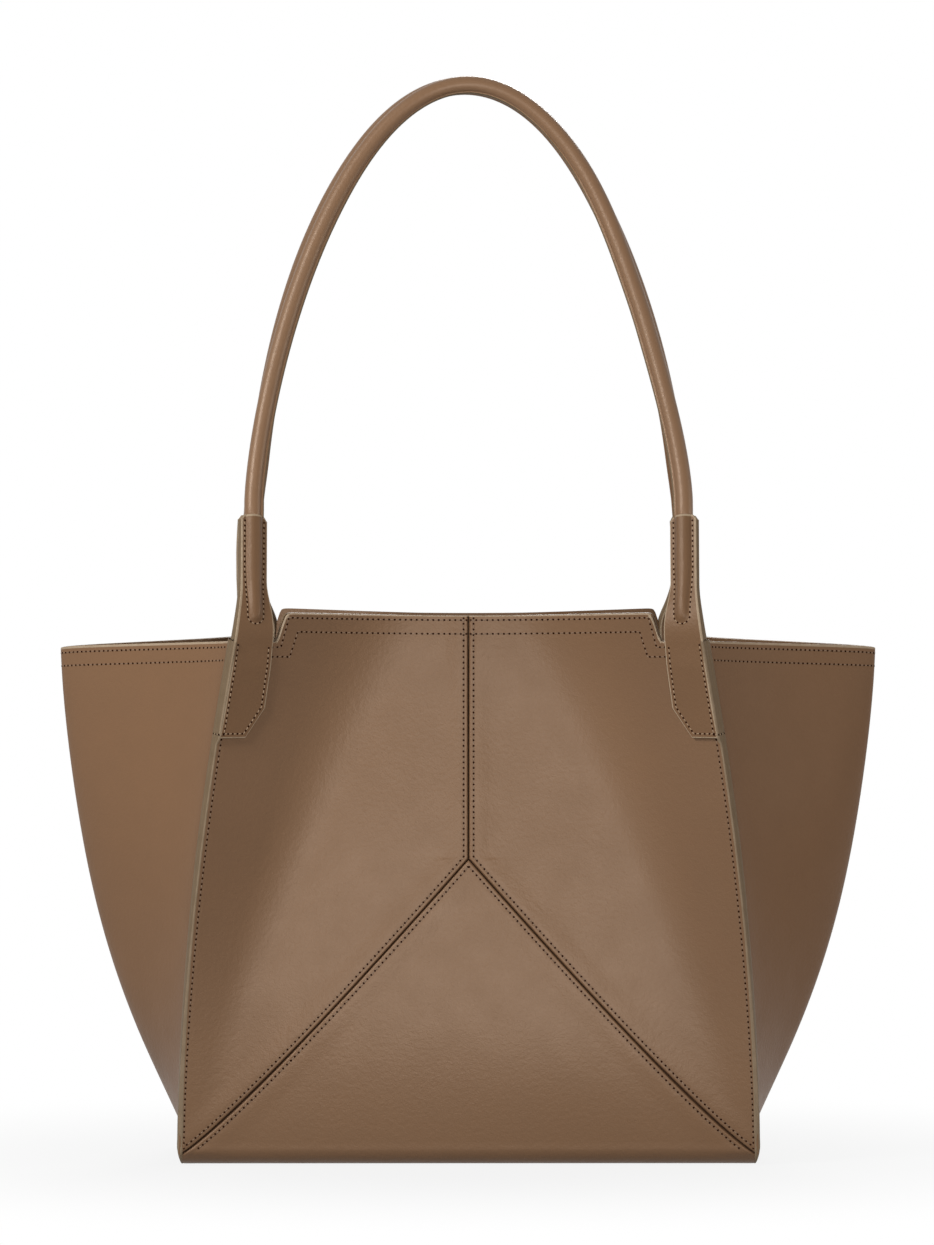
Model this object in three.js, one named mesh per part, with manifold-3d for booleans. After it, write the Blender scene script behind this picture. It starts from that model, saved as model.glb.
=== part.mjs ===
// Open leather tote bag: two rolled handles, a Y-seamed front and back, and wide side gussets.
// Millimetres, +Z up, front towards -Y, origin on the floor under the middle of the base.
import * as THREE from 'three';
import { mergeVertices } from 'three/addons/utils/BufferGeometryUtils.js';
import loadManifold from 'manifold-3d';

const wasm = await loadManifold();
wasm.setup();

const { lerp, smoothstep, degToRad } = THREE.MathUtils;

// Body
const bodyHeight = 298; // floor to the top edge of front and back
const rimDrop = 16; // the wing rim lies this far below that edge
const baseWidth = 313; // front panel across its side edges, at the base
const rimWidth = 253; // the same at the wing rim
const sideCurve = 1.7; // how late the side edges curve inwards
const baseDepth = 134; // front to back at the base
const bellyDepth = 178; // pull of the low front to the outside
const waistDepth = 100; // pull of the high front to the inside
const mouthDepth = 107; // front to back in the middle of the mouth
const baseRoll = 10; // radius where front and back roll under
const rimBend = 100; // width of the flank beside the side edge that turns forward, at the top
const baseBend = 12; // the same at the floor
const bendShare = 0.5; // inner share of the flank in which the turn is made
const rimTurn = degToRad(28); // how far the flank turns forward, high up
const baseTurn = degToRad(4); // the same at the floor
const turnHeight = 200; // the turn is complete from this height on

// Seams of the front and back
const seamFork = 165; // the centre seam forks at this height
const forkFoot = 6; // its branches end at this height, in the roll
const forkInset = 2; // and this far from the side edges
const forkSag = 6; // the branches hang this far below a straight line
const forkSagPlace = 0.65; // share of the way down at which they hang most
const notchStart = 97; // half the width of the raised top edge
const notchSlope = 5.5; // run of the slanted step at its ends
const notchRound = 3;

// Side gussets
const wingSpan = 446; // tip to tip at the rim
const wingFootSpan = 294; // the same where the gussets meet the base
const wingSwell = 1.93; // how early the wings open, going up
const wingDroop = 4; // the tips hang this far below the rim
const tipRound = 12; // softness of the fold down the middle of a wing
const footCorner = 8; // sharpness of the lower corners

// Thicknesses
const leather = 2;
const tabLeather = 2;
const weltThickness = 4;
const weltWidth = 6;
const facing = 1.2;
const lining = 0.8;
const board = 2.5;
const hemHeight = 18;

// Tabs and sleeves
const tabWidth = 21; // seen from the front, at the rim
const tabSpread = 5; // the inner edge draws away from the handle on its way down
const tabShoulder = 35; // rim to the start of the slanted corner
const tabLength = 51; // rim to the lower end
const tabFoot = 14; // width that is left at the lower end
const sleeveLength = 70;
const sleeveFlange = 1.2;
const sleeveFootWidth = 22;
const sleeveFlare = 32; // the sleeve widens below this height
const channelFade = 10; // the raised channel starts within this length

// Handles
const handleDiameter = 9;
const handleCover = 1;
const handleRise = 314; // rim to the top of the arch, along the handle
const archSlope = 1.5; // 2 would be an ellipse, 1 a parabola
const seamFlange = 2; // stitched edge on the inside of the arch
const seamFlangeThickness = 1.6;
const legReach = 8; // the legs stay straight this far above their sleeves

const clearance = 0.3;

// Colours
const leatherBrown = 0x8b725b;
const tabBrown = 0x765943;
const handleBrown = 0x745d4a;
const edgePaint = 0x7c674e;
const liningBrown = 0x4d3a2c;
const boardGrey = 0x8a8378;
const cordWhite = 0xd8d0c0;

const wingRim = bodyHeight - rimDrop;
const backing = leather + clearance; // depth at which the next layer starts

function bodyProfile(height) {
  const t = height / bodyHeight;
  const s = 1 - t;
  const pull = 3 * s * t;
  return (baseDepth * s ** 3 + bellyDepth * pull * s + waistDepth * pull * t + mouthDepth * t ** 3) / 2;
}

function sideEdge(height) {
  return (baseWidth - (baseWidth - rimWidth) * (height / wingRim) ** sideCurve) / 2;
}

function edgeSlope(height) {
  return Math.tan(lerp(baseTurn, rimTurn, smoothstep(height, 0, turnHeight)));
}

function edgeBend(height) {
  return lerp(baseBend, rimBend, height / bodyHeight);
}

// How far the front stands forward of its middle, on the flanks beside the side edges.
function flare(x, height) {
  const bend = edgeBend(height);
  const t = Math.max(0, 1 - (sideEdge(height) - Math.abs(x)) / bend);
  const run = t < bendShare ? t * t / (2 * bendShare) : t - bendShare / 2;
  return edgeSlope(height) * bend * run;
}

// The wrap coordinate runs from -3 at the front top edge over the base to 3 at the back top edge.
// Up to 1 it is on the base, up to 2 in the roll, beyond that on the front or back.
function wrapHeight(wrap) {
  return baseRoll + (Math.abs(wrap) - 2) * (bodyHeight - baseRoll);
}

function frontWrap(height) {
  return -2 - (height - baseRoll) / (bodyHeight - baseRoll);
}

function bodyPoint(x, wrap) {
  const side = Math.sign(wrap);
  const reach = Math.abs(wrap);
  const baseHalf = bodyProfile(baseRoll) + flare(x, baseRoll) - baseRoll;
  if (reach <= 1) {
    return new THREE.Vector3(x, wrap * baseHalf, 0);
  }
  if (reach <= 2) {
    const angle = (reach - 1) * Math.PI / 2;
    const out = baseHalf + baseRoll * Math.sin(angle);
    return new THREE.Vector3(x, side * out, baseRoll * (1 - Math.cos(angle)));
  }
  const height = wrapHeight(wrap);
  return new THREE.Vector3(x, side * (bodyProfile(height) + flare(x, height)), height);
}

function inwardNormal(surface, a, b) {
  const step = 1e-3;
  const alongA = surface(a + step, b).sub(surface(a - step, b));
  const alongB = surface(a, b + step).sub(surface(a, b - step));
  return alongA.cross(alongB).normalize();
}

function bodyAt(x, wrap, depth) {
  return bodyPoint(x, wrap).addScaledVector(inwardNormal(bodyPoint, x, wrap), depth);
}

// Closed solid between two depths of a surface; place takes 0 to 1 across, a row and a depth.
function sheet(place, rows, columns, from, to) {
  const across = columns + 1;
  const last = rows.length - 1;
  const face = across * rows.length;
  const positions = [];
  for (const depth of [from, to]) {
    for (const row of rows) {
      for (let column = 0; column < across; column++) {
        positions.push(...place(column / columns, row, depth).toArray());
      }
    }
  }
  const index = [];
  for (let r = 0; r < last; r++) {
    for (let c = 0; c < columns; c++) {
      const a = r * across + c;
      const b = a + across;
      index.push(a, a + 1, b + 1, a, b + 1, b);
      index.push(face + a, face + b + 1, face + a + 1, face + a, face + b, face + b + 1);
    }
  }
  const rim = [];
  for (let c = 0; c < columns; c++) rim.push(c);
  for (let r = 0; r < last; r++) rim.push(r * across + columns);
  for (let c = columns; c > 0; c--) rim.push(last * across + c);
  for (let r = last; r > 0; r--) rim.push(r * across);
  rim.forEach((a, i) => {
    const b = rim[(i + 1) % rim.length];
    index.push(b, a, face + a, b, face + a, face + b);
  });
  const geometry = new THREE.BufferGeometry();
  geometry.setAttribute('position', new THREE.Float32BufferAttribute(positions, 3));
  geometry.setIndex(index);
  return facingOut(geometry);
}

function facingOut(geometry) {
  const position = geometry.attributes.position;
  const index = geometry.index.array;
  const [a, b, c] = [new THREE.Vector3(), new THREE.Vector3(), new THREE.Vector3()];
  let volume = 0;
  for (let i = 0; i < index.length; i += 3) {
    a.fromBufferAttribute(position, index[i]);
    b.fromBufferAttribute(position, index[i + 1]);
    c.fromBufferAttribute(position, index[i + 2]);
    volume += a.dot(b.cross(c));
  }
  if (volume < 0) {
    for (let i = 0; i < index.length; i += 3) {
      [index[i], index[i + 1]] = [index[i + 1], index[i]];
    }
  }
  geometry.computeVertexNormals();
  return geometry;
}

function solid(geometry) {
  const bare = geometry.clone();
  bare.deleteAttribute('normal');
  bare.deleteAttribute('uv');
  const merged = mergeVertices(bare, 1e-4);
  return new wasm.Manifold(new wasm.Mesh({
    numProp: 3,
    vertProperties: new Float32Array(merged.attributes.position.array),
    triVerts: new Uint32Array(merged.index.array),
  }));
}

function geometryOf(manifold) {
  const mesh = manifold.getMesh();
  const geometry = new THREE.BufferGeometry();
  geometry.setAttribute('position', new THREE.Float32BufferAttribute(mesh.vertProperties, 3));
  geometry.setIndex(new THREE.BufferAttribute(mesh.triVerts, 1));
  geometry.computeVertexNormals();
  return geometry;
}

function piece(name, geometry, color, roughness = 0.55) {
  const material = new THREE.MeshStandardMaterial({ color, roughness, metalness: 0 });
  const mesh = new THREE.Mesh(geometry, material);
  mesh.name = name;
  return mesh;
}

// Evenly spread values, both ends included.
function spread(from, to, count) {
  return Array.from({ length: count + 1 }, (unused, i) => lerp(from, to, i / count));
}

// Every layer of the body shares these lines, so that layers lie on one another without crossing.
const liningTop = bodyHeight - hemHeight - clearance;
const hemLine = bodyHeight - hemHeight;
const heights = [
  ...spread(baseRoll, seamFork, 5),
  ...spread(seamFork, liningTop, 4).slice(1),
  hemLine,
  bodyHeight,
];
const rollRows = [-5 / 3, -4 / 3];
const frontRows = heights.map(frontWrap).reverse();
const halfRows = [...frontRows, ...rollRows, -1];
const wrapRows = [...halfRows, 0, ...halfRows.map((wrap) => -wrap).reverse()];
const station = { welt: 1, inner: 2, bend: 6, middle: 8 }; // counted from a side edge
const stations = 2 * station.middle;

// Distance from the middle to a line of the body, counted from its side edge.
function stationReach(fromEdge, height) {
  const edge = sideEdge(height);
  const inner = edge - weltWidth - clearance;
  const bend = edge - edgeBend(height);
  if (fromEdge <= station.welt) {
    return edge - weltWidth * fromEdge;
  }
  if (fromEdge <= station.bend) {
    return lerp(inner, bend, (fromEdge - station.inner) / (station.bend - station.inner));
  }
  return bend * (station.middle - fromEdge) / (station.middle - station.bend);
}

function lineX(line, height) {
  if (line < station.middle) {
    return -stationReach(line, height);
  }
  return stationReach(stations - line, height);
}

function layer(rows, first, last, from, to) {
  const place = (u, wrap, depth) => {
    const height = Math.max(wrapHeight(wrap), 0);
    return bodyAt(lineX(Math.round(lerp(first, last, u)), height), wrap, depth);
  };
  return sheet(place, rows, last - first, from, to);
}

// A pattern drawn on the front view, as a punch from one depth to another.
function punch(outline, from, to) {
  const options = { depth: to - from, bevelEnabled: false, curveSegments: 4 };
  return solid(new THREE.ExtrudeGeometry(outline, options).rotateX(Math.PI / 2).translate(0, to, 0));
}

function endPunch(outline, end) {
  return end === 'front' ? punch(outline, -bellyDepth, 0) : punch(outline, 0, bellyDepth);
}

// All of the body up to its top edge, with a notch at each end of that edge.
function bodyOutline() {
  const foot = notchStart + notchSlope;
  const shift = notchSlope * notchRound / rimDrop;
  const outline = new THREE.Shape();
  outline.moveTo(-baseWidth, -baseRoll);
  outline.lineTo(baseWidth, -baseRoll);
  outline.lineTo(baseWidth, wingRim);
  outline.lineTo(foot + notchRound, wingRim);
  outline.quadraticCurveTo(foot, wingRim, foot - shift, wingRim + notchRound);
  outline.lineTo(notchStart + shift, bodyHeight - notchRound);
  outline.quadraticCurveTo(notchStart, bodyHeight, notchStart - notchRound, bodyHeight);
  outline.lineTo(notchRound - notchStart, bodyHeight);
  outline.quadraticCurveTo(-notchStart, bodyHeight, -notchStart - shift, bodyHeight - notchRound);
  outline.lineTo(shift - foot, wingRim + notchRound);
  outline.quadraticCurveTo(-foot, wingRim, -foot - notchRound, wingRim);
  outline.lineTo(-baseWidth, wingRim);
  return outline;
}

// One side of the forked seam, above its branch; grow moves the outline over the seam.
function panelOutline(side, grow) {
  const corner = sideEdge(forkFoot) - forkInset;
  const pullX = corner * forkSagPlace - grow;
  const pullZ = lerp(seamFork, forkFoot, forkSagPlace) - 2 * forkSag - grow;
  const outline = new THREE.Shape();
  outline.moveTo(side * -grow, bodyHeight * 2);
  outline.lineTo(side * -grow, seamFork - grow);
  outline.quadraticCurveTo(side * pullX, pullZ, side * (corner - grow), forkFoot - grow);
  outline.lineTo(side * baseWidth, forkFoot - grow);
  outline.lineTo(side * baseWidth, bodyHeight * 2);
  return outline;
}

const topCut = punch(bodyOutline(), -bellyDepth, bellyDepth);
const ends = ['front', 'back'];
const sides = [['left', -1], ['right', 1]];
const facingEnd = (rows, end) => (end === 'front' ? rows : rows.map((wrap) => -wrap).reverse());

const bag = new THREE.Group();

// Outer leather of the body, cut along the seams into two panels each on front and back, and the base wrap
const bodyLeather = solid(layer(wrapRows, 0, stations, 0, leather)).intersect(topCut);
const seamGap = clearance / 2;
let baseWrap = bodyLeather;
for (const end of ends) {
  for (const [name, side] of sides) {
    const panel = bodyLeather.intersect(endPunch(panelOutline(side, -seamGap), end));
    bag.add(piece(`${end}_${name}_panel`, geometryOf(panel), leatherBrown));
    baseWrap = baseWrap.subtract(endPunch(panelOutline(side, seamGap), end));
  }
}
bag.add(piece('base_wrap', geometryOf(baseWrap), leatherBrown));

// Base board and the lining on it
const boardHalfX = sideEdge(0) - weltWidth - clearance;
const boardHalfY = bodyProfile(baseRoll) - baseRoll;
function basePlate(thickness, bottom) {
  const plate = new THREE.BoxGeometry(2 * boardHalfX, 2 * boardHalfY, thickness);
  return plate.translate(0, 0, bottom + thickness / 2);
}
const liningBottom = backing + board + clearance;
bag.add(piece('base_board', basePlate(board, backing), boardGrey, 0.9));
bag.add(piece('base_lining', basePlate(lining, liningBottom), liningBrown, 0.9));

// Linings and hem facings of front and back, inside the welts
const innerLast = stations - station.inner;
const liningRows = [...frontRows.slice(2), ...rollRows];
const facingRows = frontRows.slice(0, 2);
for (const end of ends) {
  const skinRows = facingEnd(liningRows, end);
  const hemRows = facingEnd(facingRows, end);
  const skin = layer(skinRows, station.inner, innerLast, backing, backing + lining);
  const hem = solid(layer(hemRows, station.inner, innerLast, backing, backing + facing));
  bag.add(piece(`${end}_lining`, skin, liningBrown, 0.9));
  bag.add(piece(`${end}_hem_facing`, geometryOf(hem.intersect(topCut)), tabBrown));
}

// Welts: the built-up seam edge, down the front, under the gusset and up the back
const weltDepth = backing + weltThickness;
for (const [name, side] of sides) {
  const first = side < 0 ? 0 : stations - station.welt;
  const strip = solid(layer(wrapRows, first, first + station.welt, backing, weltDepth));
  bag.add(piece(`${name}_seam_welt`, geometryOf(strip.intersect(topCut)), edgePaint, 0.6));
}

// Gussets: each leaves the front welt square, folds softly at the tip and comes back to the rear welt
const gussetRoot = weltDepth + 2 * clearance;

function wingTip(height) {
  const open = 1 - Math.max(0, 1 - height / wingRim) ** wingSwell;
  return lerp(wingFootSpan, wingSpan, open) / 2;
}

function gussetPoint(u, height) {
  const out = 1 - Math.abs(2 * u - 1);
  const v = (height - baseRoll) / (wingRim - baseRoll);
  const seam = sideEdge(height) - weltWidth / 2;
  const wrap = frontWrap(height);
  const root = bodyAt(seam, wrap, gussetRoot);
  const leave = inwardNormal(bodyPoint, seam, wrap);
  const tip = wingTip(height);
  const pull = Math.hypot(tip - root.x, root.y) / 3;
  const curve = new THREE.CubicBezierCurve(
    new THREE.Vector2(root.x, root.y),
    new THREE.Vector2(root.x + leave.x * pull, root.y + leave.y * pull),
    new THREE.Vector2(tip, -tipRound),
    new THREE.Vector2(tip, 0),
  );
  const plan = curve.getPoint(out);
  const foldZ = lerp(gussetRoot, wingRim - wingDroop, v);
  const z = lerp(foldZ, root.z, (1 - out) ** lerp(footCorner, 1, v));
  return new THREE.Vector3(plan.x, u < 0.5 ? plan.y : -plan.y, z);
}

function gussetLayer(side, rows, from, to) {
  const place = (u, height, depth) => {
    const point = gussetPoint(u, height).addScaledVector(inwardNormal(gussetPoint, u, height), -depth);
    point.x *= side;
    return point;
  };
  return sheet(place, rows, 14, from, to);
}

const wingHem = wingRim - hemHeight;
const wingRows = [...heights.filter((height) => height < wingHem - hemHeight), wingHem - clearance];
for (const [name, side] of sides) {
  const outer = gussetLayer(side, [...wingRows, wingHem, wingRim], 0, leather);
  const skin = gussetLayer(side, wingRows, backing, backing + lining);
  const hem = gussetLayer(side, [wingHem, wingRim], backing, backing + facing);
  bag.add(piece(`${name}_gusset`, outer, leatherBrown));
  bag.add(piece(`${name}_gusset_lining`, skin, liningBrown, 0.9));
  bag.add(piece(`${name}_gusset_facing`, hem, tabBrown));
}

// Tabs: the lower ends of the handle leathers, outside and inside each panel
function tabOutline(side) {
  const edge = sideEdge(wingRim);
  const shoulder = edge - tabWidth + tabSpread;
  const foot = wingRim - tabLength;
  const outline = new THREE.Shape();
  outline.moveTo(side * (edge - tabWidth), wingRim);
  outline.lineTo(side * shoulder, wingRim - tabShoulder);
  outline.lineTo(side * (sideEdge(foot) - tabFoot), foot);
  outline.lineTo(side * baseWidth, foot);
  outline.lineTo(side * baseWidth, wingRim);
  return outline;
}

const tabRows = frontRows.filter((wrap) => wrapHeight(wrap) > wingRim - tabLength - hemHeight * 2);
const innerTabDepth = backing + facing + clearance;
for (const end of ends) {
  for (const [name, side] of sides) {
    const rows = facingEnd(tabRows, end);
    const outline = endPunch(tabOutline(side), end);
    const range = (from) => (side < 0 ? [from, station.bend] : [stations - station.bend, stations - from]);
    const outer = solid(layer(rows, ...range(0), -clearance - tabLeather, -clearance));
    const inner = solid(layer(rows, ...range(station.inner), innerTabDepth, innerTabDepth + tabLeather / 2));
    bag.add(piece(`${end}_${name}_tab`, geometryOf(outer.intersect(outline)), tabBrown));
    bag.add(piece(`${end}_${name}_inner_tab`, geometryOf(inner.intersect(outline)), tabBrown));
  }
}

// Handles: each swings on a line through the upper ends of its two tabs
const handleRadius = handleDiameter / 2;
const legSeat = sideEdge(wingRim) - tabWidth / 2;
const legPoint = bodyAt(legSeat, frontWrap(wingRim), leather / 2);
const legX = legPoint.x;
const legTwist = Math.atan2(flare(legSeat + 1, wingRim) - flare(legSeat - 1, wingRim), 2);
const sleeveWidth = 2 * (handleRadius + clearance + tabLeather + sleeveFlange);
const lean = Math.asin((-legPoint.y - handleRadius - clearance) / handleRise);
const foldEdge = bodyAt(sideEdge(wingRim), frontWrap(wingRim), -clearance - tabLeather);
const swingY = foldEdge.y - clearance;
const swingZ = wingRim + clearance / 2;

// One leather of a sleeve: flange, half-round channel, flange. It flattens towards the level lower end.
const sleeveArc = 8;
const sleeveColumns = sleeveArc + 2;
function sleeveGeometry(face, twist) {
  const place = (u, height, depth) => {
    const column = Math.round(u * sleeveColumns);
    const radius = handleRadius + clearance + depth;
    const flat = clearance / 2 + depth;
    const start = Math.asin(flat / radius);
    const angle = lerp(start, Math.PI - start, (column - 1) / sleeveArc);
    const width = lerp(sleeveFootWidth, sleeveWidth, smoothstep(height, 0, sleeveFlare));
    const raised = smoothstep(height, 0, channelFade);
    const flange = column === 0 || column === sleeveColumns;
    const x = flange ? (u - 0.5) * width : -radius * Math.cos(angle);
    const y = face * lerp(flat, flange ? flat : radius * Math.sin(angle), raised);
    const level = (x * Math.sin(twist) + y * Math.cos(twist)) * Math.tan(lean);
    return new THREE.Vector3(x, y, height + level * (1 - height / sleeveLength));
  };
  const rows = [0, channelFade / 2, channelFade, sleeveFlare, sleeveLength];
  return sheet(place, rows, sleeveColumns, 0, tabLeather);
}

const legFoot = channelFade + tabLeather;
const archFoot = sleeveLength + legReach;

class HandleArch extends THREE.Curve {
  getPoint(t, target = new THREE.Vector3()) {
    const angle = Math.PI * (1 - t);
    const up = Math.sin(angle) ** (2 / archSlope);
    return target.set(legX * Math.cos(angle), 0, lerp(archFoot, handleRise, up));
  }
}

function handleLeg(side, from, to) {
  const x = side * legX;
  return new THREE.LineCurve3(new THREE.Vector3(x, 0, from), new THREE.Vector3(x, 0, to));
}

const handlePath = new THREE.CurvePath();
handlePath.add(handleLeg(-1, legFoot, archFoot));
handlePath.add(new HandleArch());
handlePath.add(handleLeg(1, archFoot, legFoot));

function alongHandle(outline, curveSegments) {
  return new THREE.ExtrudeGeometry(outline, { extrudePath: handlePath, steps: 36, curveSegments });
}

// Section of the rolled cover: a tube whose edges are stitched together as a flange.
const coverBore = handleRadius - handleCover;
function coverOutline() {
  const half = seamFlangeThickness / 2;
  const tip = handleRadius + seamFlange;
  const open = Math.asin(half / handleRadius);
  const outline = new THREE.Shape();
  outline.absarc(0, 0, handleRadius, Math.PI / 2 + open, Math.PI * 2.5 - open);
  outline.lineTo(half, tip);
  outline.lineTo(-half, tip);
  outline.holes.push(new THREE.Path().absarc(0, 0, coverBore, 0, 2 * Math.PI, true));
  return outline;
}

// The flange is cut away where the leg of the handle goes into its sleeve.
function legCut(side) {
  const top = sleeveLength + 2 * clearance;
  const cut = new THREE.BoxGeometry(2 * seamFlange, handleDiameter, top);
  return solid(cut.translate(side * (legX - handleRadius - seamFlange), 0, top / 2));
}

const coverTube = solid(alongHandle(coverOutline(), 5));
const coverGeometry = geometryOf(coverTube.subtract(legCut(-1)).subtract(legCut(1)));
const coreOutline = new THREE.Shape().absarc(0, 0, coverBore - clearance, 0, 2 * Math.PI);
const coreGeometry = alongHandle(coreOutline, 4);

for (const [end, turn] of [['front', 0], ['back', Math.PI]]) {
  const half = new THREE.Group();
  half.rotation.z = turn;
  const swing = new THREE.Group();
  swing.position.set(0, swingY, swingZ);
  const handle = new THREE.Group();
  handle.position.set(0, legPoint.y - swingY, clearance);
  handle.rotation.x = -lean;
  handle.add(piece(`${end}_handle_cover`, coverGeometry.clone(), handleBrown, 0.5));
  handle.add(piece(`${end}_handle_core`, coreGeometry.clone(), cordWhite, 0.9));
  for (const side of [-1, 1]) {
    const name = side * (turn ? -1 : 1) < 0 ? 'left' : 'right';
    const twist = -side * legTwist;
    const outer = piece(`${end}_${name}_sleeve`, sleeveGeometry(-1, twist), tabBrown);
    const inner = piece(`${end}_${name}_inner_sleeve`, sleeveGeometry(1, twist), tabBrown);
    for (const leaf of [outer, inner]) {
      leaf.position.x = side * legX;
      leaf.rotation.z = twist;
      handle.add(leaf);
    }
  }
  swing.add(handle);
  half.add(swing);
  bag.add(half);
}

export default bag;
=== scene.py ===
import math

import bpy
import numpy as np
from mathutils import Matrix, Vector


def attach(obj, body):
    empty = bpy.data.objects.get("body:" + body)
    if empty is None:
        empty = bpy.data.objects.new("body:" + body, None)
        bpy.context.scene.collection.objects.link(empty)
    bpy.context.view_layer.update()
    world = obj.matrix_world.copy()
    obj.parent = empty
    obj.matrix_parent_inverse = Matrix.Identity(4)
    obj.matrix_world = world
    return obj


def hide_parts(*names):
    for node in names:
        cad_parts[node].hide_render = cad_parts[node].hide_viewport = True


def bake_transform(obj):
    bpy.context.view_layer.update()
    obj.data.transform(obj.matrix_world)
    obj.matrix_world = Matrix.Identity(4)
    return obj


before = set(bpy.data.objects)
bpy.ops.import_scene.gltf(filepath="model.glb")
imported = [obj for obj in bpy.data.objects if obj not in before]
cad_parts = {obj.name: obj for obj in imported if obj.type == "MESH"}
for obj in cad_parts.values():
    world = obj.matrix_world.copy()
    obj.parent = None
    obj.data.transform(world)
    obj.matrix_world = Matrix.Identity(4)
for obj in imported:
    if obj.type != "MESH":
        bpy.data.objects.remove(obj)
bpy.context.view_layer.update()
mm = 0.001
print("frame loaded")


# numbers that every piece of the bag is cut from, lengths in millimetres
form = {
    "height": 298, "rim": 282, "baseWidth": 313, "rimWidth": 253, "sideCurve": 1.7,
    "baseDepth": 134, "bellyDepth": 178, "waistDepth": 100, "mouthDepth": 107, "roll": 10,
    "footTuck": 1.2, "tuckRun": 0.85, "baseBend": 12, "rimBend": 100, "bendShare": 0.5,
    "baseTurn": math.radians(4), "rimTurn": math.radians(28), "turnHeight": 200,
    "notch": 98.2, "notchRun": 4.4, "notchSoft": 0.05, "notchOut": {"front": 0.0, "back": 4.6},
    "topSag": 1.8, "sagHalf": 100, "sagRise": (180, 120), "wave": 0.55, "waveRise": 70, "waveMargin": 34,
    "waves": ((1, 41, 57, 0.4), (0.8, 63, -37, 2.1), (0.6, 88, 24, 0)),  # share, run across and up, start
}
leatherThick = 2.0
rimHeight, bagHeight, roll = form["rim"], form["height"], form["roll"]
wallHeight = bagHeight - roll
sides = (("Left", -1, "Right"), ("Right", 1, "Left"))  # name, side and the name once it is turned to the back


def ramp(t):
    t = np.clip(t, 0, 1)
    return t * t * (3 - 2 * t)


def positive(v):
    return np.clip(v, 0, None)


def rise(v, start, run):
    return ramp((v - start) / run)


def mixed(a, b, t):
    return a + (b - a) * t


def unit(v):
    return v / np.linalg.norm(v, axis=-1, keepdims=True)


def spaced(start, *stretches):  # even steps along each stretch in turn, given by its end and its count
    rows = [np.array([start], float)]
    for end, count in stretches:
        rows.append(np.linspace(start, end, count)[1:])
        start = end
    return np.concatenate(rows)


def mirrored(half):  # rows that run up to the middle, then on to the other side
    return np.concatenate([half, -half[::-1][1:]])


def halfDepth(z):
    t = z / bagHeight
    s = 1 - t
    pull = 3 * s * t
    return (form["baseDepth"] * s ** 3 + form["bellyDepth"] * pull * s
            + form["waistDepth"] * pull * t + form["mouthDepth"] * t ** 3) / 2


def sideEdge(z):
    share = positive(z) / rimHeight
    return (form["baseWidth"] - (form["baseWidth"] - form["rimWidth"]) * share ** form["sideCurve"]) / 2


def edgeAngle(z):  # how far the leather turns forward at the side edge
    return mixed(form["baseTurn"], form["rimTurn"], ramp(z / form["turnHeight"]))


def flare(x, z):
    bend = mixed(form["baseBend"], form["rimBend"], positive(z) / bagHeight)
    t = positive(1 - (sideEdge(z) - np.abs(x)) / bend)
    share = form["bendShare"]
    return np.tan(edgeAngle(z)) * bend * np.where(t < share, t * t / (2 * share), t - share / 2)


def soften(x, z):  # slow waves of leather that stands by itself
    wave = sum(share * np.sin(x / across + z / up + start) for share, across, up, start in form["waves"])
    wave = form["wave"] * wave * rise(z, roll, form["waveRise"])
    return wave * ramp((sideEdge(z) - np.abs(x)) / form["waveMargin"])


def rollAngle(reach):  # round the fold between base and wall
    return np.clip(reach - 1, 0, 1) * np.pi / 2


def heightAt(reach):  # of a place on the wall
    return positive(roll + (reach - 2) * wallHeight)


# wrap: -3 front top edge, -2 to -1 the front roll, -1 to 1 the base, then up the back to 3
def skin(x, wrap):
    x, wrap = np.broadcast_arrays(np.asarray(x, float), np.asarray(wrap, float))
    side, reach = np.sign(wrap), np.abs(wrap)
    baseHalf = halfDepth(roll) + flare(x, roll) - roll
    angle = rollAngle(reach)
    z = roll + positive(reach - 2) * wallHeight
    y = np.where(reach <= 1, reach * baseHalf, baseHalf + roll * np.sin(angle))
    y = np.where(reach > 2, halfDepth(z) + flare(x, z) + soften(-side * x, z), y)
    sag = form["topSag"] * positive(1 - (x / form["sagHalf"]) ** 2) * rise(z, *form["sagRise"])
    up = np.where(reach > 2, z - sag, roll * (1 - np.cos(angle)))
    return np.stack([x, side * y, up], -1)


def skinNormal(x, wrap):  # to the inside of the bag
    step = 1e-3
    across = skin(x + step, wrap) - skin(x - step, wrap)
    return unit(np.cross(across, skin(x, wrap + step) - skin(x, wrap - step)))


def onSkin(x, wrap, depth):
    return skin(x, wrap) + skinNormal(x, wrap) * np.asarray(depth, float)[..., None]


def wrapAt(z):  # on the front
    inRoll = 1 + np.arccos(1 - np.clip(z, 0, roll) / roll) / (np.pi / 2)
    return -np.where(z < roll, inRoll, 2 + (z - roll) / wallHeight)


def footEdge(reach):  # the side edges draw in a little under the bag
    return float(sideEdge(0)) - form["footTuck"] * (1 - rise(reach, 1, form["tuckRun"]))


def topEdge(x, out=0.0):  # raised middle, a slanted step at each end, then the rim
    t = (form["notch"] + out + form["notchRun"] - np.abs(x)) / form["notchRun"]
    soft = form["notchSoft"]
    step = (np.sqrt(t * t + soft) - np.sqrt((t - 1) ** 2 + soft) + 1) / 2
    return rimHeight + (bagHeight - rimHeight) * step


def roundOff(t, radius=0.5):  # rounding of a cut edge, t away from it
    t = np.clip(t, 0, radius)
    return radius - np.sqrt(radius ** 2 - (radius - t) ** 2)


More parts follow.
